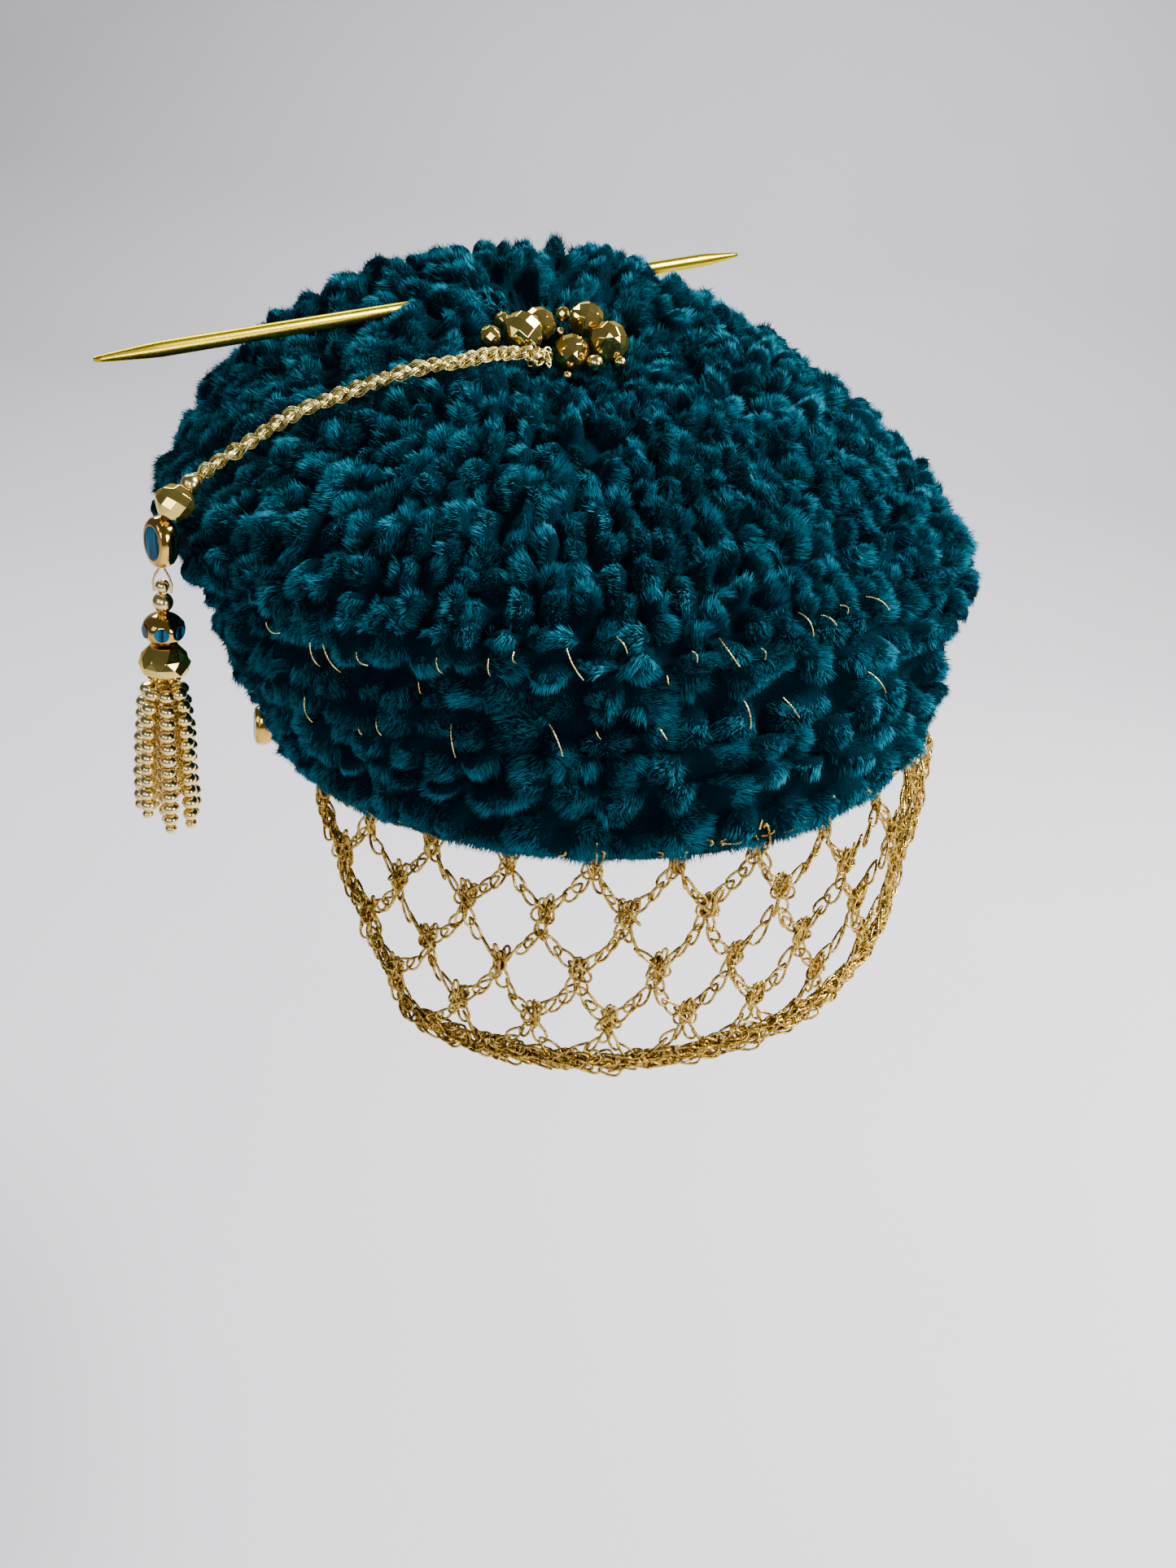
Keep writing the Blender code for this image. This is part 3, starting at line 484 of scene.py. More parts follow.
def built(name, bm, look, nodes=(), smooth=True, sharp=35):
    """Puts a bmesh into the scene as one piece."""
    bmesh.ops.recalc_face_normals(bm, faces=bm.faces)
    mesh = bpy.data.meshes.new(name)
    bm.to_mesh(mesh)
    bm.free()
    if smooth:
        mesh.shade_smooth()
        mesh.set_sharp_from_angle(angle=math.radians(sharp))
    mesh.materials.append(look.material)
    made = bpy.data.objects.new(name, mesh)
    bpy.context.scene.collection.objects.link(made)
    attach(made, "root")
    if nodes:
        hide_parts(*nodes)
    return made


def turned_shape(profile, steps):
    """A shape turned about Z from its profile."""
    bm = bmesh.new()
    verts = [bm.verts.new((r, 0, z)) for r, z in profile]
    edges = [bm.edges.new(pair) for pair in zip(verts, verts[1:])]
    bmesh.ops.spin(bm, geom=verts + edges, axis=(0, 0, 1), cent=(0, 0, 0), steps=steps, angle=math.tau,
                   use_merge=True)
    bmesh.ops.remove_doubles(bm, verts=bm.verts, dist=1e-6)
    return bm


anodised = Look("anodised", Metallic=1.0, Specular_Tint=(0.90, 0.76, 0.16, 1.0))
sheen = anodised.noise(60.0, 3.0)
brushed = anodised.noise(2600.0, 2.0)
anodised.set("Base Color", anodised.mix(sheen, (0.40, 0.30, 0.008), (0.68, 0.53, 0.02)))
anodised.set("Roughness", 0.20 + 0.12 * brushed)
anodised.bump(brushed, 0.15, 0.0001)

bm = turned_shape(NEEDLE_PROFILE, 28)
needle_turn = needle_aim.to_track_quat("Z", "Y").to_matrix().to_4x4()
stand = Matrix.Translation(turn_crown @ NEEDLE_MIDDLE) @ needle_turn
bmesh.ops.transform(bm, matrix=stand, verts=bm.verts)
built("knitting_needle", bm, anodised, ["needle"])

# The chain over the crown is made of gold thread, a flat metallic thread with a twist. It is drawn
# as a plait of three strands, each of three threads side by side, and ends in a small bunch of
# loops at the cluster.


def tubes(paths, up, radius, sides, closed):
    """Vertices, faces and UVs of round threads along many paths of equal length."""
    paths = np.asarray(paths, float)
    count, steps = paths.shape[:2]
    if closed:
        tangent = np.roll(paths, -1, 1) - np.roll(paths, 1, 1)
    else:
        tangent = np.gradient(paths, axis=1)
    tangent = unit(tangent)
    side = unit(np.cross(tangent, up))
    other = np.cross(side, tangent)
    angle = np.arange(sides) * math.tau / sides
    radius = np.broadcast_to(np.asarray(radius, float), (count, steps))[..., None, None]
    ring = side[:, :, None] * np.cos(angle)[:, None] + other[:, :, None] * np.sin(angle)[:, None]
    points = paths[:, :, None] + ring * radius
    index = np.arange(count * steps * sides).reshape(count, steps, sides)
    near = index if closed else index[:, :-1]
    far = np.roll(index, -1, 1) if closed else index[:, 1:]
    faces = np.stack([near, np.roll(near, -1, 2), np.roll(far, -1, 2), far], -1).reshape(-1, 4)
    length = np.linalg.norm(np.diff(paths, axis=1, prepend=paths[:, :1]), axis=-1).cumsum(1)
    across = np.broadcast_to(np.arange(sides) / sides, points.shape[:3])
    uv = np.stack([np.broadcast_to(length[:, :, None], across.shape) * 1000, across], -1)
    return points.reshape(-1, 3), faces, uv.reshape(-1, 2)


def thread_look(name, dark, light):
    look = Look(name, Metallic=1.0, Specular_Tint=(1.0, 0.84, 0.40, 1.0))
    run, round_ = look.uv()
    twist = look.node("ShaderNodeMath", [(run * 9.0 + round_ * math.tau)], operation="SINE")
    # Patches of darker and lighter gold are placed at random along the thread. The dark brown patches are
    # painted shade, standing for the shade between the threads.
    gold_patches_and_shade = look.noise(700.0, 3.0)
    look.set("Base Color", look.mix(((gold_patches_and_shade - 0.36) * 3.2).clamp(), dark, light))
    look.set("Roughness", 0.20 + 0.14 * gold_patches_and_shade)
    look.bump(twist * 0.5 + 0.5, 0.35, 0.00008)
    return look


chain_gold = thread_look("champagne_thread", (0.32, 0.235, 0.045), (1.0, 0.88, 0.38))
net_gold = thread_look("gold_thread", (0.16, 0.085, 0.010), (0.82, 0.56, 0.13))

LOOP_STEPS = 14
loop_turn = np.arange(LOOP_STEPS) / LOOP_STEPS * math.tau


def loops(centres, along, out, length, width, tilt):
    """Closed teardrop loops, round at the leading end and narrow at the tail, as paths."""
    across = unit(np.cross(along, out))
    length, width, tilt = (
        np.broadcast_to(np.asarray(v, float), (len(centres),))[:, None, None] for v in (length, width, tilt))
    ahead = -np.cos(loop_turn)[None, :, None]
    aside_share = (np.sin(loop_turn) * (0.66 - 0.34 * np.cos(loop_turn)))[None, :, None]
    return (centres[:, None] + along[:, None] * ahead * length / 2 + across[:, None] * aside_share * width / 2
            + out[:, None] * ahead * tilt)


def crochet(line, out, pitch, length, width, wander=0.0, spin=0.0, tilt=0.0005):
    """The loops of a chain of stitches along a line."""
    count = max(2, round(np.linalg.norm(np.diff(line, axis=0), axis=1).sum() / pitch))
    at = np.linspace(0, 1, count)
    dense = evenly(line, 4 * count)
    centres = np.stack([np.interp(at, np.linspace(0, 1, len(dense)), dense[:, k]) for k in range(3)], 1)
    outs = unit(np.stack([np.interp(at, np.linspace(0, 1, len(out)), out[:, k]) for k in range(3)], 1))
    along = unit(np.gradient(centres, axis=0))
    across = np.cross(along, outs)
    angle = rng.normal(0, spin, count)[:, None]
    outs = outs * np.cos(angle) + across * np.sin(angle)
    centres = centres + rng.normal(0, wander, centres.shape)
    size = rng.uniform(0.85, 1.2, count)
    return loops(centres, along, outs, length * size, width * size, tilt), outs


def thread_piece(name, look, paths, outs, radius, sides, nodes):
    points, faces, uv = tubes(paths, outs[:, None], radius, sides, closed=True)
    piece = mesh_object(name, points, faces, look.material, uv)
    if nodes:
        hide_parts(*nodes)


chain_out = np.array([skin.find_nearest(Vector(point))[1] for point in chain_line])
PLAIT_STEPS, PLAIT_PITCH, PLAIT_WIDE, PLAIT_HIGH = 900, 0.0112, 0.00108, 0.00075
STRANDS_PLAITED, THREADS, THREAD_APART, THREAD_RADIUS = 3, 3, 0.00045, 0.00021
dense = evenly(chain_line, PLAIT_STEPS)
at = np.linspace(0, 1, PLAIT_STEPS)
dense_out = unit(np.stack([np.interp(at, np.linspace(0, 1, 90), chain_out[:, k]) for k in range(3)], 1))
dense_out = unit(dense_out + np.array(turn_crown @ (0.0, -0.9, 0.0)))
dense_side = unit(np.cross(np.gradient(dense, axis=0), dense_out))
dense_out = unit(np.cross(dense_side, np.gradient(dense, axis=0)))
chain_length = np.linalg.norm(np.diff(chain_line, axis=0), axis=1).sum()
uneven = 1 + 0.12 * np.interp(at, np.linspace(0, 1, 40), rng.normal(0, 1, 40))
slip = 0.25 * np.interp(at, np.linspace(0, 1, 30), rng.normal(0, 1, 30))
plait = []
for strand in range(STRANDS_PLAITED):
    phase = math.tau * (at * chain_length / PLAIT_PITCH + strand / STRANDS_PLAITED) + slip
    aside, rise = np.sin(phase) * PLAIT_WIDE * uneven, np.sin(2 * phase) * PLAIT_HIGH * uneven
    strand_line = dense + dense_side * aside[:, None] + dense_out * rise[:, None]
    strand_side = unit(np.cross(dense_out, np.gradient(strand_line, axis=0)))
    for thread in range(THREADS):
        apart = (thread - (THREADS - 1) / 2) * THREAD_APART + np.interp(
            at, np.linspace(0, 1, 70), rng.normal(0, 0.00007, 70))
        bulge = 0.00012 * (1 - abs(thread - (THREADS - 1) / 2))
        plait.append(strand_line + strand_side * apart[:, None] + dense_out * bulge)
points, faces, uv = tubes(np.array(plait), dense_out[None], THREAD_RADIUS, 6, closed=False)
braided = mesh_object("chain_plait", points, faces, chain_gold.material, uv)
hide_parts("tassel_chain")

BUNCH = 26
bunch = chain_line[rng.integers(0, 5, BUNCH)] + rng.normal(0, 0.0007, (BUNCH, 3)) - chain_out[0] * 0.0006
bunch_along = unit(rng.normal(0, 1, (BUNCH, 3)))
bunch_out = unit(chain_out[0] + rng.normal(0, 0.6, (BUNCH, 3)))
bunch_out = unit(bunch_out - bunch_along * (bunch_out * bunch_along).sum(1, keepdims=True))
bunch_loops = loops(bunch, bunch_along, bunch_out, 0.0028, 0.0021, 0.0003)
thread_piece("chain_bunch", chain_gold, bunch_loops, bunch_out, 0.00024, 6, [])

# The face net is crocheted of gold thread and hangs from the rim. It has rows of arcs, each held
# to the one below by upright stitches, and a thicker edge along the sides and the foot.

NET_COLUMNS, NET_SPAN, NET_ARC, NET_TURN = 12, math.radians(74.5), 0.0860, math.radians(3)
NET_DROPS = (0.0008, 0.0168, 0.0322, 0.0466, 0.0582)
NET_SHORTER, NET_STAND_OFF, NET_TAPER, NET_SPREAD, NET_SPREAD_DROP = 0.20, 0.0045, 0.05, 0.008, 0.011


def net_knot(row, place):
    share = place / NET_COLUMNS
    return np.array([share * NET_SPAN * NET_ARC, NET_DROPS[row] * (1 - NET_SHORTER * share * share)])


def hang(flat):
    """Points of the net laid flat, hung from the rim round the face, and which way is out there."""
    across, drop = flat[:, 0], flat[:, 1]
    turn = across / NET_ARC
    spread = NET_SPREAD * np.maximum(0, np.sin(turn)) * (1 - np.exp(-((drop / NET_SPREAD_DROP) ** 2)))
    grown = NET_STAND_OFF - NET_TAPER * drop + spread
    turn = turn + NET_TURN
    x, y = (OPENING[0] + grown) * np.sin(turn), -(OPENING[1] + grown) * np.cos(turn)
    points = np.stack([x, y, rim_height(x, y) - 0.0006 - drop], 1)
    out = unit(np.stack([x / OPENING[0] ** 2, y / OPENING[1] ** 2, np.full_like(x, 0.0)], 1))
    return points, out


def arc(start, end):
    """A sagging arc from a knot down to the next row's, flat at its foot."""
    share = np.linspace(0, 1, 12)[:, None]
    eased = np.concatenate([share ** 1.8, share ** 0.82], 1)
    return start + (end - start) * eased


paths, outs = [], []


def lay(flat, **sizes):
    points, out = hang(flat)
    made, facing = crochet(points, out, **sizes)
    paths.append(made)
    outs.append(facing)


def knot_stitches(centre, lean, tall, wide, count=1, spacing=0.0):
    """Upright stitches side by side, over the foot of one arc and the head of the next."""
    flat = np.array([centre + (k * spacing, 0.0) for k in np.linspace(-1, 1, count)])
    points, out = hang(flat)
    sideways = np.cross(out, (0, 0, 1.0))
    aim_ = unit(np.array((0, 0, 1.0)) + sideways * lean + rng.normal(0, 0.12, points.shape))
    out = unit(out + rng.normal(0, 0.25, out.shape))
    out = unit(out - aim_ * (out * aim_).sum(1, keepdims=True))
    centres = points + rng.normal(0, 0.0003, points.shape)
    paths.append(loops(centres, aim_, out, tall * rng.uniform(0.85, 1.2, count), wide, 0.0003))
    outs.append(out)


last = len(NET_DROPS) - 1
NET_THREAD = 0.00034
EDGE_LINES = ((-0.0002, 0.0002), (0.0011, 0.0006), (0.0021, 0.0010))  # inwards from the side, and down
KNOT = (
    ((0, -0.0010), {"lean": 0.0, "tall": 0.0060, "wide": 0.0020, "count": 2, "spacing": 0.0010}),
    ((0, 0.0016), {"lean": 0.0, "tall": 0.0046, "wide": 0.0030}),
)
KNOT_AT_RIM = (
    ((0.0014, 0.0026), {"lean": -0.35, "tall": 0.0074, "wide": 0.0020}),
    ((-0.0014, 0.0026), {"lean": 0.35, "tall": 0.0074, "wide": 0.0020}),
    ((0, 0.0042), {"lean": 0.0, "tall": 0.0040, "wide": 0.0032}),
)
plain = {"pitch": 0.0032, "length": 0.0055, "width": 0.0035, "wander": 0.00030, "spin": 0.65}
edge = {"pitch": 0.0023, "length": 0.0046, "width": 0.0034, "wander": 0.00045, "spin": 0.9}
for row in range(last):
    for place in range(row - NET_COLUMNS, NET_COLUMNS - row + 1, 2):
        for towards in (-1, 1):
            if abs(place + towards) > NET_COLUMNS - row - 1:
                continue
            flat = arc(net_knot(row, place), net_knot(row + 1, place + towards))
            on_side = abs(place) == NET_COLUMNS - row and abs(place + towards) == NET_COLUMNS - row - 1
            lay(flat, **plain)
            if on_side:
                for inwards, down in EDGE_LINES:
                    lay(flat + (-towards * inwards, down), **edge)
        for shift, sizes in KNOT if row else KNOT_AT_RIM:
            knot_stitches(net_knot(row, place) + shift, **sizes)
top_line = np.array([net_knot(0, place) for place in np.linspace(-NET_COLUMNS, NET_COLUMNS, 60)])
foot_places = np.linspace(last - NET_COLUMNS, NET_COLUMNS - last, 60)
foot_line = np.array([net_knot(last, place) for place in foot_places])
lay(top_line + (0, -0.0002), **{**edge, "width": 0.0018})
for drop in (-0.0010, 0.0002, 0.0014, 0.0026):
    lay(foot_line + (0, drop), **edge)
for share in np.linspace(0, 1, 76):
    centre = foot_line[int(share * 59)] + (0.0006, 0.0006)
    knot_stitches(centre, rng.normal(0.4, 0.5), 0.0046, 0.0020)
thread_piece("net_loops", net_gold, np.concatenate(paths), np.concatenate(outs), NET_THREAD, 5, ["face_net"])

# Gold thread is carried through the knit as well, and shows as short slanting stitches in two
# arcs round the front.

GLINT_ARCS = (
    {"first": 221, "last": 295, "share": 0.275, "uneven": 0.020, "count": 18},
    {"first": 223, "last": 291, "share": 0.168, "uneven": 0.007, "count": 10},
)
glint_rng = np.random.default_rng(11)
glint_places = []
for row in GLINT_ARCS:
    apart = (row["last"] - row["first"]) / (row["count"] - 1)
    for k in range(row["count"]):
        degrees = row["first"] + apart * (k + glint_rng.uniform(-0.4, 0.4))
        glint_places.append((degrees, row["share"] + glint_rng.normal(0, row["uneven"])))

stitch_paths, stitch_outs = [], []
for degrees, share in glint_places:
    column_, ring_ = np.array([degrees / 360 * COLUMNS]), np.array([share * (RINGS - 1)])
    base_, around_, up_, out_ = (
        on_surface(column_, ring_, field)[0] for field in (grid, around, upward, outward))
    slant = unit(rng.uniform(0.15, 0.75) * around_ - 0.85 * up_)
    long_ = rng.choice((0.0022, 0.0036, 0.0058, 0.0068))
    step = np.linspace(-1, 1, 9)[:, None]
    bow = out_ * (0.0034 - 0.0010 * step ** 2) + around_ * rng.normal(0, 0.0002) * step ** 2
    stitch_paths.append(base_ + slant * step * long_ / 2 + bow)
    stitch_outs.append(out_)
points, faces, uv = tubes(np.array(stitch_paths), np.array(stitch_outs)[:, None], 0.00014, 5, closed=False)
glints = mesh_object("gold_stitches", points, faces, chain_gold.material, uv)

# Cut beads: glass coated with a gold mirror, in flat facets with fine worn edges. Five large and
# three small ones are strung in the cluster, and two hang in the pendant.

mirror = Look("gold_mirror", Metallic=0.97, Specular_Tint=(1.0, 0.86, 0.48, 1.0))
# Patches of darker olive and brighter gold are placed at random over the mirror. They are painted
# reflections, standing for facets that reflect dark or bright surroundings.
cloud = mirror.noise(240.0, 3.0)
mirror.set("Base Color", mirror.mix(cloud, (0.50, 0.36, 0.055), (0.92, 0.71, 0.20)))
mirror.set("Roughness", 0.03 + 0.05 * cloud)
mirror.bump(cloud, 0.06, 0.0001)

SWELL = 1.06  # for the corners that the facets lose
CUT_BEADS = (
    {"node": "cluster_rondelle_1", "diameter": 0.0097, "height": 0.00825, "heading": 20},
    {"node": "cluster_rondelle_2", "diameter": 0.0082, "height": 0.00697, "heading": 75},
    {"node": "cluster_rondelle_3", "diameter": 0.0086, "height": 0.00731, "heading": -35},
    {"node": "cluster_rondelle_4", "diameter": 0.0086, "height": 0.00731, "heading": 50},
    {"node": "cluster_rondelle_5", "diameter": 0.0097, "height": 0.00825, "heading": 100},
    {"node": "cluster_bead_1", "diameter": 0.0050, "height": 0.0045, "heading": 10},
    {"node": "cluster_bead_2", "diameter": 0.0040, "height": 0.0036, "heading": 60},
    {"node": "cluster_bead_3", "diameter": 0.0036, "height": 0.0032, "heading": 0},
    {"node": "chain_faceted_bead", "diameter": 0.0076, "height": 0.00714, "heading": 30},
    {"node": "tassel_rondelle", "diameter": 0.0109, "height": 0.0080, "heading": None},
)


def cut_bead(diameter, height, round_cut):
    """A cut bead: upright diamonds round the girdle, one or two rows of kites, a flat at each end."""
    sides = 8 if round_cut else 10
    inner = math.cos(math.pi / sides)
    if round_cut:
        belts = [(1.0, 0.0, 0.0), (inner, 0.22, 0.5), (0.72, 0.42, 0.0), (0.54, 0.485, 0.5), (0.30, 0.5, 0.0)]
    else:
        belts = [(1.0, 0.0, 0.0), (inner * 0.95, 0.5 * (1 - inner ** 2) / 0.44 + 0.10, 0.5), (0.56, 0.5, 0.0)]
    belts += [(out, -level_, turn_) for out, level_, turn_ in belts[1:]]
    bm = bmesh.new()
    for out, level_, turn_ in belts:
        for side in range(sides):
            angle = math.tau * (side + turn_) / sides
            x, y = out * diameter / 2 * math.cos(angle), out * diameter / 2 * math.sin(angle)
            bm.verts.new((x, y, level_ * height))
    bmesh.ops.convex_hull(bm, input=bm.verts)
    bmesh.ops.dissolve_limit(bm, angle_limit=math.radians(2), verts=bm.verts, edges=bm.edges)
    bmesh.ops.bevel(bm, geom=bm.edges[:], offset=diameter * 0.008, segments=1, affect="EDGES")
    return bm


def stood(bm, centre, heading, spin):
    """Turns the bead's hole along the heading, in the crown's axes, and moves it into place."""
    turn_ = Matrix.Rotation(spin, 4, "Z")
    if heading is not None:
        angle = math.radians(heading)
        axis = Vector(turn_crown @ (math.cos(angle), math.sin(angle), 0.15))
        turn_ = axis.to_track_quat("Z", "Y").to_matrix().to_4x4() @ turn_
    bmesh.ops.transform(bm, matrix=Matrix.Translation(centre) @ turn_, verts=bm.verts)
    return bm


for number, bead in enumerate(CUT_BEADS):
    bm = cut_bead(bead["diameter"] * SWELL, bead["height"] * SWELL, bead["heading"] is not None)
    bm = stood(bm, middle(bead["node"]), bead["heading"], 0.35 * number)
    built(f"cut_{bead['node']}", bm, mirror, [bead["node"]], smooth=False)

# Round metal beads: smooth, pale gold, flattened a little where the thread runs through. Four are
# strung in the cluster, and three hang in the pendant.

pale_gold = Look("pale_gold", Metallic=1.0)
smear = pale_gold.noise(300.0, 4.0)
pale_gold.set("Base Color", pale_gold.mix(smear, (0.74, 0.55, 0.18), (0.97, 0.79, 0.37)))
pale_gold.set("Roughness", 0.13 + 0.15 * smear)
pale_gold.bump(smear, 0.05, 0.0001)

ROUND_BEADS = (
    {"node": "cluster_bead_4", "diameter": 0.0026, "height": 0.00234},
    {"node": "cluster_bead_5", "diameter": 0.0040, "height": 0.0036},
    {"node": "cluster_bead_6", "diameter": 0.0024, "height": 0.00216},
    {"node": "cluster_bead_7", "diameter": 0.0030, "height": 0.0027},
    {"node": "chain_round_bead", "diameter": 0.0043, "height": 0.0043},
    {"node": "seed_bead_1", "diameter": 0.0032, "height": 0.0028},
    {"node": "seed_bead_2", "diameter": 0.0046, "height": 0.0041},
)
BEAD_HALF = ((0.16, 0.38), (0.22, 0.47), (0.36, 0.50), (0.62, 0.44), (0.84, 0.30), (0.96, 0.14))
BEAD_PROFILE = (*BEAD_HALF, (1.0, 0.0), *((out, -rise) for out, rise in BEAD_HALF[::-1]))
for bead in ROUND_BEADS:
    profile = [(out * bead["diameter"] / 2, level_ * bead["height"]) for out, level_ in BEAD_PROFILE]
    bm = turned_shape(profile, 24)
    bmesh.ops.holes_fill(bm, edges=bm.edges)
    bmesh.ops.translate(bm, verts=bm.verts, vec=middle(bead["node"]))
    built(f"round_{bead['node']}", bm, pale_gold, [bead["node"]])

# Window beads: gold all round, with windows ground flat that show blue glass. Two are flat ovals
# with a window on each face, and one is round with a ring of small windows.

gilt = Look("gilt_rim", Metallic=1.0, Coat_Weight=0.5, Coat_Roughness=0.02)
gilt_cloud = gilt.noise(200.0, 3.0)
gilt.set("Base Color", gilt.mix(gilt_cloud, (0.48, 0.27, 0.035), (0.76, 0.47, 0.08)))
gilt.set("Roughness", 0.05 + 0.08 * gilt_cloud)
gilt.bump(gilt_cloud, 0.05, 0.0001)

blue = Look("blue_window", Specular_IOR_Level=0.12)
drawn = blue.node("ShaderNodeMapping", {"Vector": blue.place(), "Scale": (900.0, 900.0, 60.0)})
streak = blue.node("ShaderNodeTexNoise", {"Vector": drawn, "Scale": 1.0})
streaks = ((streak - 0.42) * 5.0).clamp()
blue.set("Base Color", blue.mix(streaks, (0.0003, 0.0050, 0.0170), (0.0015, 0.1500, 0.2700)))
blue.set("Roughness", 0.04 + 0.08 * streak)
blue.bump(streak, 0.03, 0.0001)

OVALS = (
    {"node": "window_bead", "turn": 52},
    {"node": "side_bead", "turn": 20},
)
OVAL_SIZE = (0.0085, 0.0117, 0.0046)
GLASS_BELTS = ((0.66, 0.495), (0.655, 0.515), (0.60, 0.525), (0.3, 0.53))
OVAL_BELTS = ((0.66, 0.50), (0.72, 0.50), (0.86, 0.45), (0.95, 0.32), (0.99, 0.15), (1.00, 0.00))


def oval_body(belts, steps=28):
    """An oval with its thickness along X, turned from belts of width and level, closed at both ends."""
    bm = turned_shape(belts, steps)
    bmesh.ops.holes_fill(bm, edges=bm.edges)
    wide, tall, thick = OVAL_SIZE
    laid = Matrix(((0, 0, thick, 0), (wide / 2, 0, 0, 0), (0, tall / 2, 0, 0), (0, 0, 0, 1)))
    bmesh.ops.transform(bm, matrix=laid, verts=bm.verts)
    return bm


for oval in OVALS:
    oval_turn = Matrix.Rotation(CROWN_TURN + math.radians(oval["turn"]), 4, "Z")
    stand = Matrix.Translation(middle(oval["node"])) @ oval_turn
    bm = oval_body(list(OVAL_BELTS) + [(out, -level_) for out, level_ in OVAL_BELTS[-2::-1]])
    bmesh.ops.transform(bm, matrix=stand, verts=bm.verts)
    built(f"gilt_{oval['node']}", bm, gilt, [oval["node"]])
    for side in (-1, 1):
        bm = oval_body([(out, side * rise) for out, rise in GLASS_BELTS])
        bmesh.ops.transform(bm, matrix=stand, verts=bm.verts)
        built(f"glass_{oval['node']}_{(side + 1) // 2 + 1}", bm, blue)

bead_middle = middle("round_window_bead")
BALL, BALL_HEIGHT, FLAT = 0.0047, 0.0078, 0.925
WINDOWS, DISC_PROUD, DISC = 6, 0.00006, {"radius1": 0.00165, "radius2": 0.00150, "depth": 0.0002}
bm = bmesh.new()
bmesh.ops.create_uvsphere(bm, u_segments=48, v_segments=28, radius=BALL)
window_turns = [math.tau * (k + 0.35) / WINDOWS for k in range(WINDOWS)]
for vert in bm.verts:
    for angle in window_turns:
        facing = Vector((math.cos(angle), math.sin(angle), 0))
        past = vert.co.dot(facing) - FLAT * BALL
        if past > 0:
            vert.co -= facing * past
bmesh.ops.scale(bm, vec=(1, 1, BALL_HEIGHT / BALL / 2), verts=bm.verts)
bmesh.ops.translate(bm, verts=bm.verts, vec=bead_middle)
built("gilt_round_bead", bm, gilt, ["round_window_bead"])
bm = bmesh.new()
for angle in window_turns:
    facing = Vector((math.cos(angle), math.sin(angle), 0))
    disc_turn = facing.to_track_quat("Z", "Y").to_matrix().to_4x4()
    disc = Matrix.Translation(bead_middle + facing * (FLAT * BALL + DISC_PROUD)) @ disc_turn
    bmesh.ops.create_cone(bm, cap_ends=True, segments=20, matrix=disc, **DISC)
built("glass_round_bead", bm, blue)

# The wire under the oval bead is a loop bent from round wire, pale gold like the round beads. Its
# legs run down beside the first seed bead.

loop_middle = middle("wire_loop")
facing_right = Vector(turn_crown @ (1, 0, 0))
LEG = ((0.0019, -0.0042), (0.0021, -0.0022), (0.0015, -0.0004), (0.0006, 0.0011))
LEGS = (*((-aside, up_) for aside, up_ in LEG), (0.0, 0.0016), *LEG[::-1])
wire = np.array([[loop_middle + facing_right * a + Vector((0, 0, b)) for a, b in LEGS]])
facing_camera = np.array([turn_crown @ (0.0, -1.0, 0.0)])
WIRE_RADIUS = 0.00028
points, faces, uv = tubes(wire, facing_camera[:, None], WIRE_RADIUS, 8, closed=False)
wire_piece = mesh_object("bent_wire", points, faces, pale_gold.material, uv)
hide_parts("wire_loop")

# The tassel: strands of gold seed beads that spread from under the rondelle, of uneven length,
# each ending in a smaller bead.

low_corner, high_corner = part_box("bead_tassel")
head = Vector(((low_corner[0] + high_corner[0]) / 2, (low_corner[1] + high_corner[1]) / 2, high_corner[2]))
STRANDS, OUTER_STRANDS = 9, 7
OUTER_SPREAD, INNER_SPREAD = (0.0036, 0.0062), (0.0010, 0.0016)  # from the middle, at the top and at the foot
SEED, SEED_HEIGHT, LAST_SEED = 0.0039, 0.0030, 0.72
FIRST_DROP = 0.0012
seed_steps = 12
SEED_HALF = ((0.0, 0.44), (0.30, 0.50), (0.62, 0.43), (0.90, 0.22))
profile = np.array([*SEED_HALF, (1.0, 0.0), *((out, -rise) for out, rise in SEED_HALF[::-1])])
angle = np.arange(seed_steps) * math.tau / seed_steps
seed_points = np.stack([
    profile[:, None, 0] * SEED / 2 * np.cos(angle), profile[:, None, 0] * SEED / 2 * np.sin(angle),
    np.broadcast_to(profile[:, None, 1] * SEED_HEIGHT, (len(profile), seed_steps)),
], -1).reshape(-1, 3)
index = np.arange(len(profile) * seed_steps).reshape(len(profile), seed_steps)
low, high = index[1:], index[:-1]
seed_faces = np.stack([low, np.roll(low, -1, 1), np.roll(high, -1, 1), high], -1).reshape(-1, 4)
all_points, all_faces = [], []
for strand in range(STRANDS):
    inner_ring = strand >= OUTER_STRANDS
    angle_ = math.tau * (strand / 2 + 0.2 if inner_ring else strand / OUTER_STRANDS + 0.04)
    out_top, out_foot = INNER_SPREAD if inner_ring else OUTER_SPREAD
    beads = 10 + int(rng.integers(0, 2))
    drop = FIRST_DROP
    for k in range(beads + 1):
        share = k / beads
        spread = out_top + (out_foot - out_top) * share ** 0.45
        small = LAST_SEED if k == beads else 1.0
        level_ = -drop - SEED_HEIGHT * small / 2
        centre = head + Vector((math.cos(angle_) * spread, math.sin(angle_) * spread, level_))
        wobble = Matrix.Rotation(rng.normal(0, 0.12), 3, "X") @ Matrix.Rotation(rng.normal(0, 0.12), 3, "Y")
        size = small * rng.uniform(0.93, 1.05)
        all_faces.append(seed_faces + len(all_points) * len(seed_points))
        shake = rng.normal(0, 0.00008, 3)
        all_points.append(seed_points * size @ np.array(wobble).T + np.array(centre) + shake)
        drop += SEED_HEIGHT * small * 1.02
seeds = np.concatenate(all_points)
tassel = mesh_object("seed_strands", seeds, np.concatenate(all_faces), pale_gold.material)
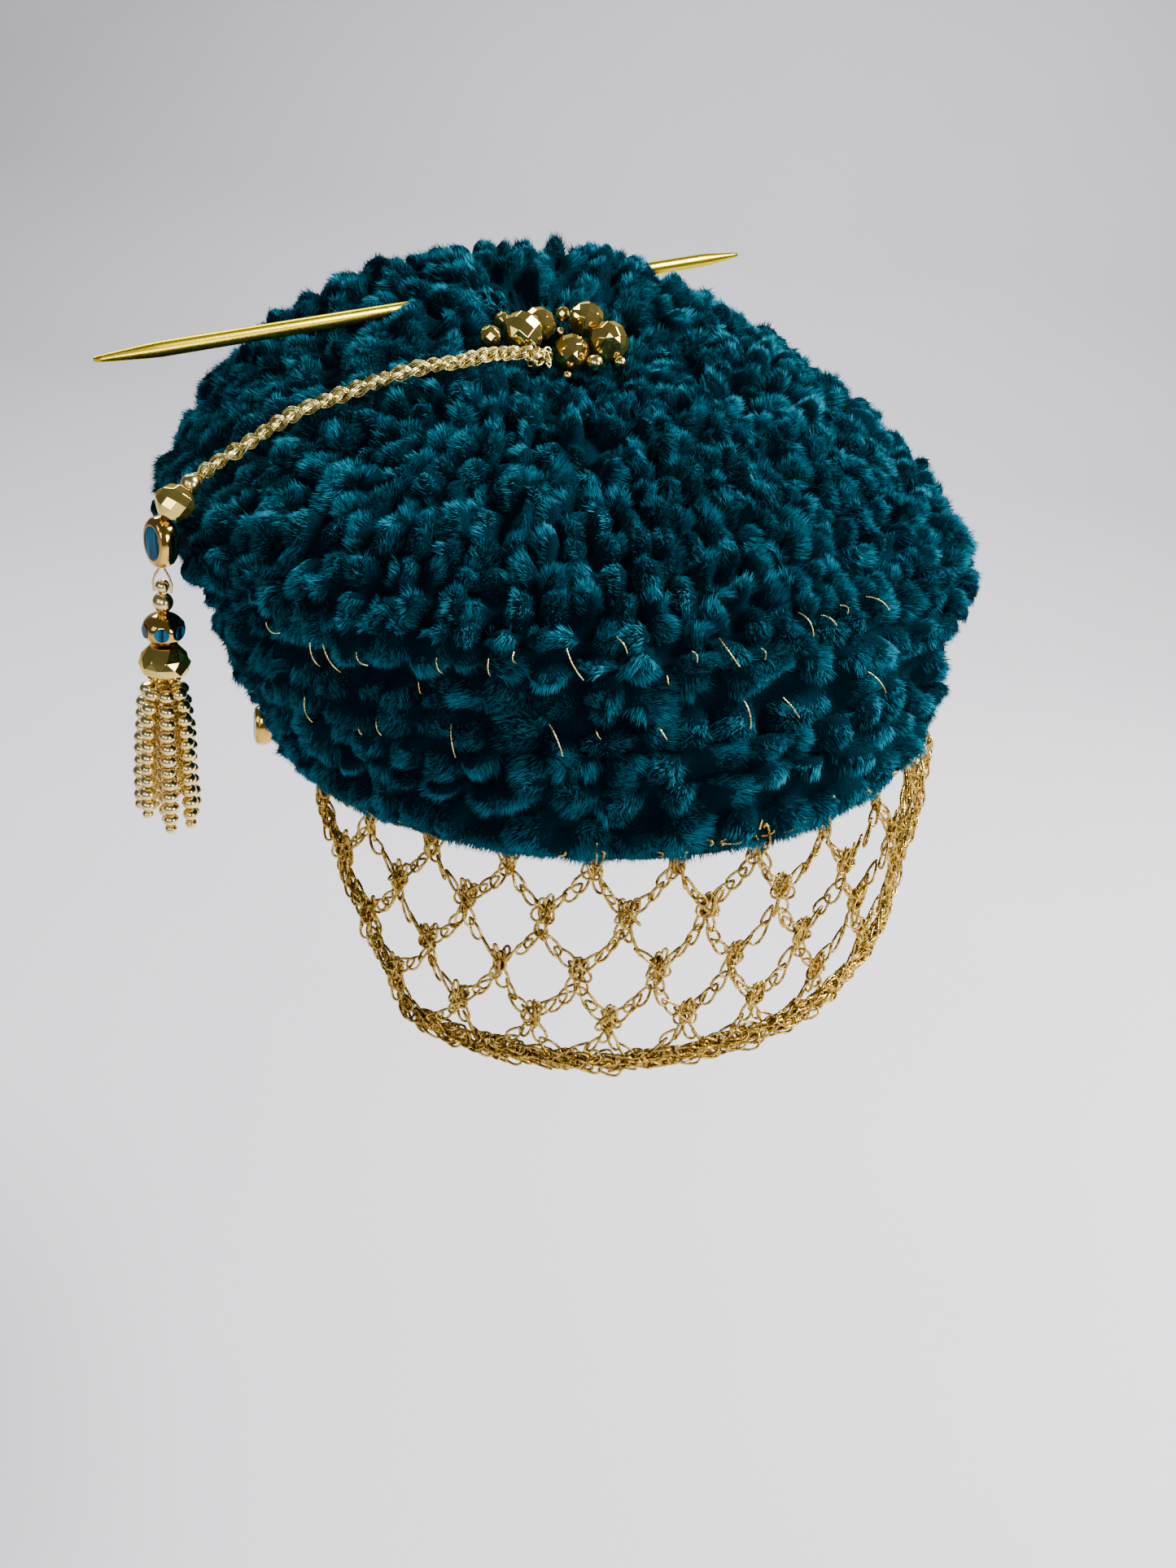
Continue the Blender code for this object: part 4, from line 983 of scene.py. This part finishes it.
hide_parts("bead_tassel")

# The room is a pale paper floor that rises into a wall. Soft light comes from above, from behind
# and from both sides of the front.

wall_look = Look("pale_paper", Roughness=0.85, Specular_IOR_Level=0.2)
grain = wall_look.noise(9.0, 4.0)
wall_look.set("Base Color", wall_look.mix(grain, (0.54, 0.54, 0.59), (0.57, 0.57, 0.62)))
wall_look.set("Roughness", 0.8 + 0.15 * grain)
FLOOR = -0.30
profile = [(-1.6, FLOOR), (0.9, FLOOR), (1.25, FLOOR + 0.06), (1.5, FLOOR + 0.25), (1.6, FLOOR + 0.6)]
profile.append((1.6, 2.4))
room_points = [(x, y, z) for y, z in profile for x in (-3.0, 3.0)]
room_faces = [(2 * k, 2 * k + 1, 2 * k + 3, 2 * k + 2) for k in range(len(profile) - 1)]
room = mesh_object("floor", np.array(room_points) @ turn_crown.T, room_faces, wall_look.material)

world = bpy.data.worlds.new("room_light")
world.use_nodes = True
sky = world.node_tree.nodes["Background"]
sky.inputs[0].default_value = (0.80, 0.84, 0.92, 1.0)
sky.inputs[1].default_value = 0.14
bpy.context.scene.world = world


def area_light(name, place, size, power, colour):
    light = bpy.data.lights.new(name, "AREA")
    light.shape = "RECTANGLE"
    light.size, light.size_y = size
    light.energy = power
    light.color = colour
    made = bpy.data.objects.new(name, light)
    made.location = place
    made.rotation_euler = (Vector((0, 0, 0.03)) - Vector(place)).to_track_quat("-Z", "Y").to_euler()
    bpy.context.scene.collection.objects.link(made)


area_light("key", (0.88, -0.15, 0.92), (0.5, 0.5), 70.0, (1.0, 0.98, 0.95))
area_light("fill", (-0.95, -0.55, 0.45), (0.5, 0.5), 2.0, (0.92, 0.96, 1.0))
area_light("front", (-0.42, -1.00, 0.42), (0.40, 0.40), 3.8, (1.0, 0.98, 0.94))
area_light("front_right", (0.62, -0.90, 0.28), (0.40, 0.40), 8.0, (1.0, 0.98, 0.94))
area_light("back", (-0.2, 0.9, 0.9), (0.9, 0.4), 19.0, (1.0, 1.0, 1.0))

# The camera stands where the photograph was taken from, above and to the wearer's right, rolled
# a little, and shows the same frame.

AZIMUTH, ELEVATION, ROLL = (math.radians(v) for v in (-22.0, 28.5, 7.7))
FOCAL = 1700.0
SHOWN = (1445, 1927)
LOOKED_AT = (720.0, 880.0)
DISTANCE = 0.375
flat_out = math.cos(ELEVATION)
back = Vector((math.sin(AZIMUTH) * flat_out, -math.cos(AZIMUTH) * flat_out, math.sin(ELEVATION)))
level = Vector((math.cos(AZIMUTH), math.sin(AZIMUTH), 0))
right = math.cos(ROLL) * level + math.sin(ROLL) * back.cross(level)
up = back.cross(right)
aside = (LOOKED_AT[0] - SHOWN[0] / 2) / FOCAL * DISTANCE
above = (SHOWN[1] / 2 - LOOKED_AT[1]) / FOCAL * DISTANCE
camera = bpy.data.objects.new("camera", bpy.data.cameras.new("camera"))
camera.data.sensor_fit = "VERTICAL"
camera.data.sensor_height = 36.0
camera.data.lens = 36.0 * FOCAL / SHOWN[1]
camera.data.clip_start = 0.01
turned = Matrix((right, up, back)).transposed().to_4x4()
camera.matrix_world = Matrix.Translation(-(right * aside + up * above - back * DISTANCE)) @ turned
bpy.context.scene.collection.objects.link(camera)
bpy.context.scene.camera = camera
